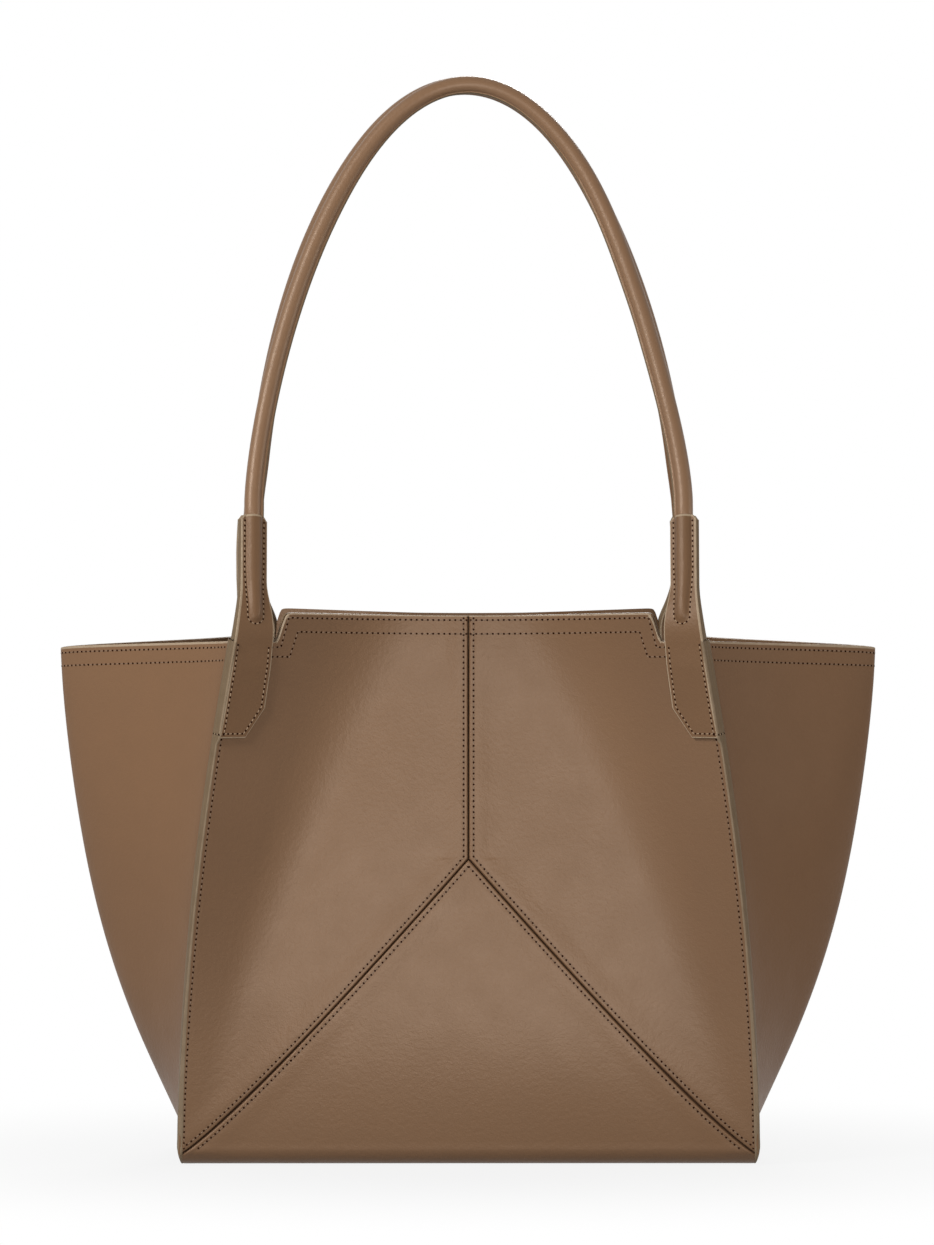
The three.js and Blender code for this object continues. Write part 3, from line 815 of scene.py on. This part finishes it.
rightWingLining = cutPiece("rightWingLining", wingInside["across"], wingInside["along"], layWingLining,
                           inside["lining"], [liningTwill])
rightWingFacing = cutPiece("rightWingFacing", wingInside["facingAcross"], len(facingRise) - 1, layWingFacing,
                           inside["facing"], [tabLeatherShaded, edgePaint])
leftWingLining = turnCopy(rightWingLining, "leftWingLining")
leftWingFacing = turnCopy(rightWingFacing, "leftWingFacing")


baseCloth = {"across": 40, "along": 24, "halfWidth": 149, "halfDepth": 58.5, "height": 5.2, "ripple": 0.18,
             "sideLift": 2.2, "sideFlat": 0.9, "sideRun": 0.1,
             "endLift": 1.2, "endFlat": 0.95, "endRun": 0.05}


def layBaseLining(i, j):  # turns up a little along its edges
    x, y = (i / baseCloth["across"] * 2 - 1), (j / baseCloth["along"] * 2 - 1)
    atSide = np.clip((np.abs(y) - baseCloth["sideFlat"]) / baseCloth["sideRun"], 0, 1)
    atEnd = np.clip((np.abs(x) - baseCloth["endFlat"]) / baseCloth["endRun"], 0, 1)
    lift = baseCloth["sideLift"] * atSide ** 2 + baseCloth["endLift"] * atEnd ** 2
    ripple = baseCloth["ripple"] * np.sin(5 * x + 3 * y) * np.sin(4 * y - 2 * x)
    z = baseCloth["height"] + ripple + lift
    return np.stack([x * baseCloth["halfWidth"], y * baseCloth["halfDepth"], z], -1)


baseLining = cutPiece("baseLining", baseCloth["across"], baseCloth["along"], layBaseLining, inside["lining"],
                      [liningTwill], outward=(0, 0, -1))
for piece, node in ((frontLining, "front_lining"), (backLining, "back_lining"),
                    (rightWingLining, "right_gusset_lining"), (leftWingLining, "left_gusset_lining"),
                    (baseLining, "base_lining")):
    settle(piece, "bag_body", [node])
for piece, node in ((frontFacing, "front_hem_facing"), (backFacing, "back_hem_facing"),
                    (rightWingFacing, "right_gusset_facing"), (leftWingFacing, "left_gusset_facing")):
    settle(piece, "bag_body", [node])
print("inside lined")


# handle leathers: each runs from its tab on the bag up into the sleeve round a handle end
tab = {"width": 21, "spread": 5, "shoulder": 35, "length": 51, "foot": 14, "proud": 2.32, "innerDepth": 4.7}
sleeve = {"length": 70, "topWidth": 15.8, "footWidth": 21.8, "flareTo": 34, "flange": 2.0, "corner": 2.6,
          "overRim": 0.45, "rise": 3.2, "half": 5.0, "footHalf": 3.7, "channelFoot": 14.5, "channelRun": 30}
grip = {"radius": 4.05, "rise": 314, "legReach": 8, "legFoot": 20, "legRows": 14, "archRows": 150,
        "slope": 1.49, "clear": 0.3, "wall": 0.6, "cord": 3.3, "cordFacets": 16,
        "pressed": 0.6, "pressedTo": 4, "hidden": 0.5, "hiddenIn": 0.2,
        "facets": 24, "opening": 14, "flange": 1.4, "flangeThick": 1.6, "soft": 0.35, "tip": 0.3,
        "tuck": 0.55, "tuckRise": (0.75, 0.22), "row": 0.75, "rowFoot": 2, "rowPoints": 1600,
        "painted": (1.6, 4.4)}
# no handle hangs quite even, and the back legs stand a little further apart just over the rim
arches = {"front": {"spread": 0.0, "sway": -2.8, "shoulder": 0.0},
          "back": {"spread": 4.6, "sway": 0.0, "shoulder": 3.6},
          "spreadRise": (-4, 26), "close": 0.7, "closeRise": (45, 60), "spreadEnd": (0.2, 0.8),
          "shoulderRise": 0.7, "swayRise": 0.4, "swayEnd": (0.5, 0.35), "across": (-50, 100)}
legSeat = float(sideEdge(rimHeight)) - tab["width"] / 2
legX, legY = [float(v) for v in onSkin(legSeat, wrapAt(rimHeight), leatherThick / 2)[:2]]
legTwist = math.atan2(float(flare(legSeat + 1, rimHeight) - flare(legSeat - 1, rimHeight)), 2)
lean = math.asin((-legY - grip["radius"] - grip["clear"]) / grip["rise"])
handleFoot = rimHeight + sleeve["overRim"]


def inHandle(x, y, z):  # from the plane of the front handle to the bag
    return np.stack([x, y * math.cos(lean) + z * math.sin(lean) + legY,
                     -y * math.sin(lean) + z * math.cos(lean) + handleFoot], -1)


def legSpread(spread, z):
    return spread * rise(z, *arches["spreadRise"]) * (1 - arches["close"] * rise(z, *arches["closeRise"]))


def inSleeve(side, x, y, z, spread=0.0):
    twist = -side * legTwist
    seat = side * (legX + legSpread(spread, z))
    c, s = math.cos(twist), math.sin(twist)
    return inHandle(seat + x * c - y * s, x * s + y * c, z)


def tabInner(z):  # inner edge of a tab, drawn on the front view
    edge = float(sideEdge(rimHeight))
    shoulderZ, footZ = rimHeight - tab["shoulder"], rimHeight - tab["length"]
    top, shoulder = edge - tab["width"], edge - tab["width"] + tab["spread"]
    foot = float(sideEdge(footZ)) - tab["foot"]
    upper = mixed(shoulder, top, (z - shoulderZ) / tab["shoulder"])
    return np.where(z > shoulderZ, upper, mixed(foot, shoulder, (z - footZ) / (shoulderZ - footZ)))


def channelHalf(z):
    return mixed(sleeve["footHalf"], sleeve["half"], rise(z, sleeve["channelFoot"], sleeve["channelRun"]))


def channel(x, z):  # how high the leather stands over the handle end
    r = np.hypot(x, positive(sleeve["channelFoot"] - z)) / channelHalf(z)
    return sleeve["rise"] * positive(1 - r ** 3) ** 1.2


def leafWidth(z):
    return mixed(sleeve["footWidth"], sleeve["topWidth"], ramp(z / sleeve["flareTo"]))


leaf = {"outer": 2.0, "inner": 1.8, "outerInset": 0.1, "innerInset": 7.4, "innerStep": (-1.5, 3),
        "topCorner": (5.6, 2.2), "straightTo": 16, "skinTo": 36, "rimProud": 1.1, "proudRise": (-14, 14),
        "lift": (-12, 48), "paintSteps": 3, "paintRows": 5}
leafSteps = np.array([0, 0.1, 0.28, 0.7, 1.2, 2.0, 2.9])
leafColumns = 2 * len(leafSteps) + 17
tabBottom, tabCorner = rimHeight - tab["length"], rimHeight - tab["shoulder"]
sleeveTop = handleFoot + sleeve["length"]
leafLevels = np.concatenate([
    tabBottom + np.array([0, 0.1, 0.28, 0.7, 1.3]),
    spaced(tabBottom + 2.5, (tabCorner, 9), (rimHeight - 4, 18), (rimHeight + 22, 24), (sleeveTop - 4.4, 22)),
    sleeveTop - np.array([3, 2, 1.2, 0.6, 0.3, 0.1, 0])])


def leafShare(i, width):  # 0 at the inner edge of the leather, 1 at the outer
    n = len(leafSteps)
    start = leafSteps[-1] / width
    low = leafSteps[np.clip(i, 0, n - 1)] / width
    high = 1 - leafSteps[np.clip(leafColumns - i, 0, n - 1)] / width
    middle = mixed(start, 1 - start, (i - n + 1) / (leafColumns - 2 * n + 2))
    return np.where(i < n, low, np.where(i > leafColumns - n, high, middle))


def leafPoint(side, share, level, depth, face, spread=0.0):
    zs = level - handleFoot
    x = (share - 0.5) * leafWidth(positive(zs))
    top = sleeve["length"] - sleeve["corner"] * rise(np.abs(x), *leaf["topCorner"])
    straight, overRim = leaf["straightTo"], level - rimHeight
    high = positive((zs - straight) / (sleeve["length"] - straight))
    zs = np.where(zs > straight, mixed(straight, top, high), zs)
    y = face * (sleeve["flange"] + channel(x, zs) - depth)
    up = inSleeve(side, side * x, y, zs, spread)
    z = np.minimum(level, rimHeight + leaf["skinTo"])
    outer = sideEdge(z) - leaf["outerInset"]
    if face > 0:
        outer = outer - leaf["innerInset"] * (1 - rise(overRim, *leaf["innerStep"]))
    flat = mixed(tabInner(z), outer, share)
    proud = mixed(tab["proud"], leaf["rimProud"], rise(overRim, *leaf["proudRise"]))
    low = onSkin(side * flat, wrapAt(z), depth - proud if face < 0 else tab["innerDepth"] - depth)
    return mixed(low, up, rise(overRim, *leaf["lift"])[..., None])


def layLeaf(side, face, spread):
    def lay(i, j):
        level = leafLevels[j]
        width = leafWidth(positive(level - handleFoot))
        share = leafShare(i, width)
        t = np.minimum(share, 1 - share) * width
        ends = np.maximum(roundOff(level - leafLevels[0]), roundOff(leafLevels[-1] - level))
        return leafPoint(side, share, level, np.maximum(roundOff(t), ends), face, spread)
    return lay


def leafPainted(i, j):
    edge, fromTop = np.minimum(i, leafColumns - 1 - i), len(leafLevels) - j
    return (np.minimum(edge, j) < leaf["paintSteps"]) | (fromTop < leaf["paintRows"])


strip = {"across": 8, "depth": 0.35, "middle": 4.0, "bulge": 0.3, "sink": 0.05, "round": 0.6, "wall": 0.5}
stripLevels = np.linspace(rimHeight + 1.6, sleeveTop - 0.25, 60)


def layStrip(side, share, spread):  # fills the edge between the two leaves of a sleeve
    def lay(i, j):
        level = stripLevels[j]
        front, back = [leafPoint(side, share, level, strip["depth"], face, spread) for face in (-1, 1)]
        middle = leafPoint(side, 0.5, level, strip["middle"], -1, spread)
        t = i / strip["across"]
        bulge = strip["bulge"] * np.sin(np.pi * t) ** strip["round"] - strip["sink"]
        along = mixed(front, back, t[..., None])
        return along + unit(along - middle) * bulge[..., None]
    return lay


def makeHandleLeather(name, side, spread):
    parts = [cutPiece(part, leafColumns, len(leafLevels) - 1, layLeaf(side, face, spread), thick,
                      [tabLeatherShaded, tabPaintAndHighlight], outward=(0, face, 0), painted=leafPainted)
             for part, face, thick in ((name, -1, leaf["outer"]), ("innerLeaf", 1, leaf["inner"]))]
    parts += [cutPiece("edgeStrip", strip["across"], len(stripLevels) - 1, layStrip(side, share, spread),
                       strip["wall"], [edgePaint], outward=(side * (2 * share - 1), 0, 0))
              for share in (0.0, 1.0)]
    pick(*parts)
    bpy.ops.object.join()
    return parts[0]


def bendWithHandle(piece, end):
    handle = end + "_handle"
    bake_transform(piece)


layers = ("tab", "inner_tab", "sleeve", "inner_sleeve")
for sideName, side, other in sides:
    front = makeHandleLeather("front%sHandleLeather" % sideName, side, arches["front"]["spread"])
    back = makeHandleLeather("back%sHandleLeather" % other, side, arches["back"]["spread"])
    turnRound(back)
    for piece, end, name in ((front, "front", sideName.lower()), (back, "back", other.lower())):
        bendWithHandle(piece, end)
        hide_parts(*["%s_%s_%s" % (end, name, layer) for layer in layers])
print("handle leathers laid")


# rolled handles: a leather tube with its stitched edges on the inside of the arch, round a cotton cord
handleRows = grip["archRows"] + 2 * grip["legRows"]


def handleLine(end, t):  # t from 0 to 1, foot of the left leg to foot of the right leg
    arch = arches[end]
    archFoot = sleeve["length"] + grip["legReach"]
    legShare = grip["legRows"] / handleRows
    leg = np.clip(np.minimum(t, 1 - t) / legShare, 0, 1)
    angle = np.pi * (1 - np.clip((t - legShare) / (1 - 2 * legShare), 0, 1))
    up = np.sin(angle) ** (2 / grip["slope"])
    x = legX * np.cos(angle)
    z = np.where(leg < 1, mixed(grip["legFoot"], archFoot, leg), mixed(archFoot, grip["rise"], up))
    x = np.where(leg < 1, np.where(t < 0.5, -legX, legX), x)
    lift = np.clip((z - archFoot) / (grip["rise"] - archFoot), 0, 1)
    x = x + np.sign(x) * legSpread(arch["spread"], z) * (1 - rise(lift, *arches["spreadEnd"]))
    x = x + arch["shoulder"] * ramp(lift / arches["shoulderRise"]) * rise(x, *arches["across"])
    sway = arch["sway"] * ramp(lift / arches["swayRise"]) * (1 - rise(lift, *arches["swayEnd"]))
    return x + sway * rise(x, *arches["across"]), z


def handleFrame(end, t):
    step = 2e-4
    t = np.clip(t, step, 1 - step)
    x, z = handleLine(end, t)
    x1, z1 = handleLine(end, t + step)
    x0, z0 = handleLine(end, t - step)
    along = unit(np.stack([x1 - x0, z1 - z0], -1))
    return x, z, along[..., 1], -along[..., 0]  # the last two point to the inside of the arch


def tuckAt(z):  # the stitched edges tuck in at the crown
    return 1 - grip["tuck"] * rise(z / grip["rise"], *grip["tuckRise"])


rollSection = []
for k in range(grip["facets"] + 1):
    angle = math.radians(grip["opening"] + k * (360 - 2 * grip["opening"]) / grip["facets"])
    rollSection.append((grip["radius"] * math.cos(angle), grip["radius"] * math.sin(angle)))
flangeRoot, flangeTip = grip["radius"] + grip["soft"], grip["radius"] + grip["flange"]
halfFlange = grip["flangeThick"] / 2
flangeSide = [(flangeRoot, halfFlange), (flangeTip - grip["tip"], halfFlange),
              (flangeTip, halfFlange - grip["soft"])]
rollSection += [(off, -y) for off, y in flangeSide] + flangeSide[::-1]
rollSection = np.array(rollSection + rollSection[:1])
coreTurn = np.linspace(0, 2 * math.pi, grip["cordFacets"] + 1)
coreSection = grip["cord"] * np.stack([np.cos(coreTurn), np.sin(coreTurn)], -1)


def layHandle(end, section):
    def lay(i, j):
        x, z, inX, inZ = handleFrame(end, j / handleRows)
        off, y = section[i].T
        underSleeve = z < sleeve["length"] - grip["hidden"]
        off = np.where(underSleeve & (off > grip["radius"]), grip["radius"] - grip["hiddenIn"], off)
        off = np.where(off > grip["radius"], mixed(grip["radius"], off, tuckAt(z)), off)
        free = rise(z - sleeve["length"], -grip["pressedTo"], grip["pressedTo"])
        pressed = mixed(grip["pressed"], 1.0, free)  # the sleeve grips the handle end
        return inHandle(x + inX * off * pressed, y * pressed, z + inZ * off * pressed)
    return lay


def rollPainted(i, j):  # the cut edge of the flange
    first, last = grip["painted"]
    return (i - grip["facets"] > first) & (i - grip["facets"] < last)


for end in ("front", "back"):
    cover = cutPiece(end + "HandleRoll", len(rollSection) - 1, handleRows, layHandle(end, rollSection),
                     grip["wall"], [handleLeatherLit, edgePaint], outward=(0, 0, 1),
                     painted=rollPainted, close=True)
    core = cutPiece(end + "HandleCord", len(coreSection) - 1, handleRows, layHandle(end, coreSection),
                    grip["wall"], [cordCotton], outward=(0, 0, 1), close=True)
    if end == "back":
        turnRound(cover)
        turnRound(core)
    settle(cover, end + "_handle", [end + "_handle_cover"])
    settle(core, end + "_handle", [end + "_handle_core"])
print("handles rolled")


# stitches: one thread slug with its needle hole, a dark disc of painted shade, repeated along each row
stitch = {"length": 1.75, "width": 0.55, "height": 0.45, "turn": math.radians(9),
          "hole": 0.58, "holeLift": 0.09, "pitch": 3.0, "tabPitch": 2.85, "look": 0.3, "step": 0.6}


def makeStitch():
    bpy.ops.object.select_all(action="DESELECT")
    bpy.ops.mesh.primitive_uv_sphere_add(segments=6, ring_count=5, radius=0.5)
    slug = bpy.context.object
    size = {"value": (stitch["length"], stitch["width"], stitch["height"]), "center_override": (0, 0, 0)}
    editAll(turned("Y", math.pi / 2), (bpy.ops.transform.resize, size))
    bpy.ops.mesh.primitive_circle_add(vertices=8, radius=stitch["hole"], fill_type="NGON")
    parts = []
    for kind, part in enumerate((slug, bpy.context.object)):
        corners = np.array([v.co[:] for v in part.data.vertices])
        parts.append((corners, [list(p.vertices) for p in part.data.polygons], kind))
        bpy.data.objects.remove(part)
    return parts


stitchParts = makeStitch()


def alongRow(points, normals, pitch):  # places of the threads, and of the holes between them
    length = runningLength(points)
    count = max(1, int(round(length[-1] / pitch)))
    at = (np.arange(count) + 0.5) / count * length[-1]
    ends = np.arange(count + 1) / count * length[-1]

    def on(table, where):
        where = np.clip(where, 0, length[-1])
        return np.stack([np.interp(where, length, table[:, k]) for k in range(3)], -1)

    def frameAt(where):
        ahead = unit(on(points, where + stitch["look"]) - on(points, where - stitch["look"]))
        up = unit(on(normals, where))
        return on(points, where), ahead, np.cross(up, ahead), up

    return frameAt(at), frameAt(ends)


def sew(name, rows, thread, pitch=stitch["pitch"]):
    verts, faces, kinds = [], [], []
    total = 0
    for points, normals in rows:
        spots = alongRow(points, normals, pitch)
        for (shape, polygons, kind), (centre, ahead, across, up) in zip(stitchParts, spots):
            turn = stitch["turn"] if kind == 0 else 0
            a = ahead * math.cos(turn) + across * math.sin(turn)
            c = across * math.cos(turn) - ahead * math.sin(turn)
            lift = 0.0 if kind == 0 else stitch["holeLift"]
            placed = (centre[:, None] + shape[None, :, :1] * a[:, None] + shape[None, :, 1:2] * c[:, None]
                      + (shape[None, :, 2:] + lift) * up[:, None])
            for n in range(len(placed)):
                verts.append(placed[n])
                faces += [[v + total for v in p] for p in polygons]
                kinds += [kind] * len(polygons)
                total += len(shape)
    mesh = bpy.data.meshes.new(name)
    mesh.from_pydata((np.concatenate(verts) * mm).tolist(), [], faces)
    mesh.materials.append(thread)
    mesh.materials.append(needleHoleShade)
    mesh.polygons.foreach_set("material_index", kinds)
    mesh.polygons.foreach_set("use_smooth", [True] * len(kinds))
    mesh.update()
    piece = bpy.data.objects.new(name, mesh)
    bpy.context.scene.collection.objects.link(piece)
    return piece


def dense(corners):
    corners = np.array(corners, float)
    out = [corners[:1]]
    for a, b in zip(corners[:-1], corners[1:]):
        n = max(1, int(np.linalg.norm(b - a) / stitch["step"]))
        out.append(a + (b - a) * (np.arange(1, n + 1) / n)[:, None])
    return np.concatenate(out)


def onFront(corners, side, sink, gap=None):  # rows lie on the leather as it rises beside the seam
    line = dense(corners)
    x, z = line[:, 0], line[:, 1]
    beside = seamGap(x, z) if gap is None else np.full_like(x, gap)
    depth = sink + seamRelief(beside, seamWidth(z))
    return onSkin(side * x, wrapAt(z), depth), -skinNormal(side * x, wrapAt(z))


# both sides of the forked seam, then the side seams
bodyRow = {"top": 1.4, "outsideFoot": 11, "withinFoot": 9, "apex": 0.3, "sideTop": 1,
           "forkSink": -0.1, "sideSink": 0.12, "points": 120}
rowGap, forkSlant = fork["row"], slantAt(fork["height"])
bendZ = fork["height"] + rowGap * (forkSlant - 1) / branchRun[0]
rowZ = np.linspace(bendZ, bodyRow["outsideFoot"], bodyRow["points"])
outside = np.stack([np.maximum(branchLine(rowZ) + rowGap * slantAt(rowZ), rowGap), rowZ], -1)
outside = np.concatenate([[(rowGap, bagHeight - bodyRow["top"])], outside])
apexZ = fork["height"] - rowGap * forkSlant / branchRun[0] - bodyRow["apex"]
rowZ = np.linspace(apexZ, bodyRow["withinFoot"], bodyRow["points"])
within = np.stack([np.maximum(branchX(rowZ) - rowGap * slantAt(rowZ), bodyRow["apex"]), rowZ], -1)
rowZ = np.linspace(bodyRow["withinFoot"], tabBottom - bodyRow["sideTop"], bodyRow["points"])
beside = np.stack([sideEdge(rowZ) - panel["row"] * np.cos(edgeAngle(rowZ)), rowZ], -1)
bodyRows = []
for side in (-1, 1):
    bodyRows += [onFront(line, side, bodyRow["forkSink"], rowGap) for line in (outside, within)]
    bodyRows.append(onFront(beside, side, bodyRow["sideSink"]))

# two rows follow the stepped top edge, and the lower one closes up beside the step
hem = {"drops": (2.4, 9.9), "lowest": 7.6, "slant": 0.62, "from": 1.2, "to": 105.6, "turn": 0.6}


def hemLines(end):
    rows = []
    for side in (-1, 1):
        for d in hem["drops"]:
            top = form["notch"] + form["notchOut"][end] - hem["slant"] * d
            foot, low = top + form["notchRun"], rimHeight - min(d, hem["lowest"])
            line = [(hem["from"], bagHeight - d), (top, bagHeight - d), (foot, low),
                    (max(foot + hem["turn"], hem["to"]), low)]
            rows.append(onFront(line, side, 0.0))
    return rows


frontStitches = sew("frontStitches", bodyRows + hemLines("front"), bodyThreadShaded)
backStitches = sew("backStitches", bodyRows + hemLines("back"), bodyThreadShaded)
turnRound(backStitches)

wingRow = {"drops": (3.2, 10.2), "ends": (0.03, 0.97)}
wingRows = []
for drop in wingRow["drops"]:
    u = np.linspace(*wingRow["ends"], 400)
    h = np.full_like(u, rimHeight - drop)
    points = onWing(u, h, 0.0)
    wingRows.append((points, unit(points - onWing(u, h, 1.0))))
rightWingStitches = sew("rightWingStitches", wingRows, bodyThreadShaded)
leftWingStitches = turnCopy(rightWingStitches, "leftWingStitches")
for piece in (frontStitches, backStitches, rightWingStitches, leftWingStitches):
    settle(piece, "bag_body", [])


def onLeaf(side, shares, levels, face, spread):
    points = leafPoint(side, shares, levels, 0.0, face, spread)
    return points, unit(points - leafPoint(side, shares, levels, 1.0, face, spread))


tabRows = {"inset": 2.3, "foot": 2.4, "top": 2.5, "outerTop": 1, "innerTop": 2.2, "innerCorner": (2.1, 0.7),
           "innerFoot": 0.9, "beside": 0.75, "sleeveTop": 3.5, "sleeveFoot": 1}


def tabRow(side, corners):
    x, z = dense(corners).T
    share = (x - tabInner(z)) / (sideEdge(z) - leaf["outerInset"] - tabInner(z))
    return onLeaf(side, share, z, -1, 0.0)


def sleeveRow(side, face, spread):  # round the channel
    r = sleeve["footHalf"] + tabRows["beside"]
    turn = np.linspace(0, np.pi, 24)
    top, foot = sleeve["length"] - tabRows["sleeveTop"], sleeve["channelFoot"] + tabRows["sleeveFoot"]
    upZ = np.linspace(top, foot, 30)
    upX = channelHalf(upZ) + tabRows["beside"]
    x = np.concatenate([upX, r * np.cos(turn), -upX[::-1]])
    z = np.concatenate([upZ, sleeve["channelFoot"] - r * np.sin(turn), upZ[::-1]])
    line = dense(np.stack([x, z], -1))
    return onLeaf(side, 0.5 + line[:, 0] / leafWidth(line[:, 1]), line[:, 1] + handleFoot, face, spread)


# the thread that is tied over the edge at the foot of a tab
knot = {"up": 2.0, "at": (0, 0.4, 0.5, 1), "inset": (2.3, 0.3, -0.4, -0.5),
        "depth": (-2.55, -2.55, -1.6, 4.2), "round": 3}


def knotRow(side):
    t = np.linspace(0, 1, 30)
    z = np.full(len(t), tabBottom + knot["up"])
    inset, depth = [np.interp(t, knot["at"], knot[key]) for key in ("inset", "depth")]
    points = onSkin(side * (sideEdge(z) - inset * np.cos(edgeAngle(z))), wrapAt(z), depth)
    middle = onSkin(side * (sideEdge(z) - knot["round"] * np.cos(edgeAngle(z))), wrapAt(z), 1.0)
    return points, unit(points - middle)


rowTop, rowFoot = rimHeight - tabRows["top"], tabBottom + tabRows["foot"]
rowZ = np.linspace(rowFoot, rimHeight - tabRows["outerTop"], 40)
outerRow = np.stack([sideEdge(rowZ) - tabRows["inset"], rowZ], -1)
cornerIn, cornerUp = tabRows["innerCorner"]
innerRow = [(tabInner(rowTop) + tabRows["innerTop"], rowTop),
            (tabInner(tabCorner) + cornerIn, tabCorner + cornerUp),
            (tabInner(tabBottom) + tabRows["innerFoot"], rowFoot),
            (sideEdge(tabBottom) - tabRows["inset"], rowFoot)]
for sideName, side, other in sides:
    for end, name in (("front", sideName), ("back", other)):
        rows = [tabRow(side, innerRow), tabRow(side, outerRow), knotRow(side)]
        rows += [sleeveRow(side, face, arches[end]["spread"]) for face in (-1, 1)]
        piece = sew(end + name + "LeatherStitches", rows, tabThread, stitch["tabPitch"])
        if end == "back":
            turnRound(piece)
        bendWithHandle(piece, end)

for end in ("front", "back"):
    x, z, inX, inZ = handleFrame(end, np.linspace(0, 1, grip["rowPoints"]))
    keep = z > sleeve["length"] + grip["rowFoot"]
    off = grip["radius"] + grip["row"] * tuckAt(z)
    rows = []
    for face in (-1, 1):
        points = inHandle(x + inX * off, np.full_like(x, face * halfFlange), z + inZ * off)[keep]
        normals = inHandle(np.zeros_like(x), np.full_like(x, face), np.zeros_like(x))[keep]
        rows.append((points, normals - inHandle(0.0, 0.0, 0.0)))
    piece = sew(end + "HandleStitches", rows, bodyThreadShaded)
    if end == "back":
        turnRound(piece)
    settle(piece, end + "_handle", [])
print("stitches sewn")


# kept solid: the base board
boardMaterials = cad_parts["base_board"].data.materials
boardMaterials.clear()
boardMaterials.append(boardGrey)


# studio: pale floor, white surround, soft lights from the left front
studio = {"ambient": 0.03, "floor": 0.3, "floorSize": 8, "floorDrop": 0.0004, "aim": (0, 0, 0.22),
          "fade": (0.1, 0.5), "shadow": 0.86}  # the floor's own light is full outside the shadow
lamps = {
    "key": {"at": (-1.3, -1.3, 1.4), "size": 0.7, "tall": 0.7, "power": 37},
    "front": {"at": (0.1, -2.6, 0.4), "size": 0.9, "tall": 0.7, "power": 25},
    "left": {"at": (-2.4, -0.3, 0.8), "size": 0.8, "tall": 1.2, "power": 0.5},
    "right": {"at": (2.5, -0.4, 0.6), "size": 0.8, "tall": 1.2, "power": 16, "color": (1.0, 0.91, 0.81)},
    "back": {"at": (0.4, 2.4, 1.7), "size": 1.0, "tall": 0.8, "power": 50},
}
white = (1, 1, 1, 1)


def seenDirectly(paint):  # by the camera, or in a gloss or through glass
    rays = [paint.node("ShaderNodeLightPath", out="Is %s Ray" % name)
            for name in ("Camera", "Glossy", "Transmission")]
    return paint.node("ShaderNodeClamp", None, {"Value": rays[0] + rays[1] + rays[2]})


def turnTo(thing, at, aim):
    thing.rotation_euler = (Vector(aim) - Vector(at)).to_track_quat("-Z", "Y").to_euler()


world = bpy.data.worlds.new("studio")
bpy.context.scene.world = world
world.use_nodes = True
air = Paint(world.node_tree)
background = world.node_tree.nodes["Background"]
air.feed(background.inputs["Color"], white)
air.feed(background.inputs["Strength"], studio["ambient"] + (1 - studio["ambient"]) * seenDirectly(air))

bpy.ops.object.select_all(action="DESELECT")
bpy.ops.mesh.primitive_plane_add(size=studio["floorSize"], location=(0, 0, -studio["floorDrop"]))
floor = bpy.context.object
floor.name = "floor"
floorPaint, ground, plain = newMaterial("paleFloor")
shade(ground, plain, (studio["floor"],) * 3 + (1,), 0.9)
glow = ground.node("ShaderNodeEmission", None, {"Color": white, "Strength": 1.0})
far = ground.node("ShaderNodeVectorMath", {"operation": "LENGTH"}, {0: ground.place()}, out="Value")
fadeFrom, fadeTo = studio["fade"]
fade = ground.node("ShaderNodeMapRange", {"interpolation_type": "SMOOTHSTEP"},
                   {"Value": far, "From Min": fadeFrom, "From Max": fadeTo,
                    "To Min": studio["shadow"], "To Max": 1.0})
surface = ground.node("ShaderNodeMixShader", None,
                      {0: fade * seenDirectly(ground), 1: Value(ground, plain.outputs[0]), 2: glow})
ground.feed(floorPaint.node_tree.nodes["Material Output"].inputs["Surface"], surface)
floor.data.materials.append(floorPaint)

for name, lamp in lamps.items():
    bpy.ops.object.light_add(type="AREA", location=lamp["at"])
    light = bpy.context.object
    light.name = name + "Light"
    light.data.shape = "RECTANGLE"
    light.data.energy, light.data.size, light.data.size_y = lamp["power"], lamp["size"], lamp["tall"]
    light.data.color = lamp.get("color", white[:3])
    turnTo(light, lamp["at"], studio["aim"])

shot = {"at": (-0.02, -4.5, 0.36), "aim": (-0.0006, 0, 0.2917), "lens": 237.6, "sensor": 36}
bpy.ops.object.camera_add(location=shot["at"])
camera = bpy.context.object
camera.data.lens, camera.data.sensor_width = shot["lens"], shot["sensor"]
turnTo(camera, shot["at"], shot["aim"])
bpy.context.scene.camera = camera
bpy.context.scene.view_settings.view_transform = "Standard"
print("studio ready")
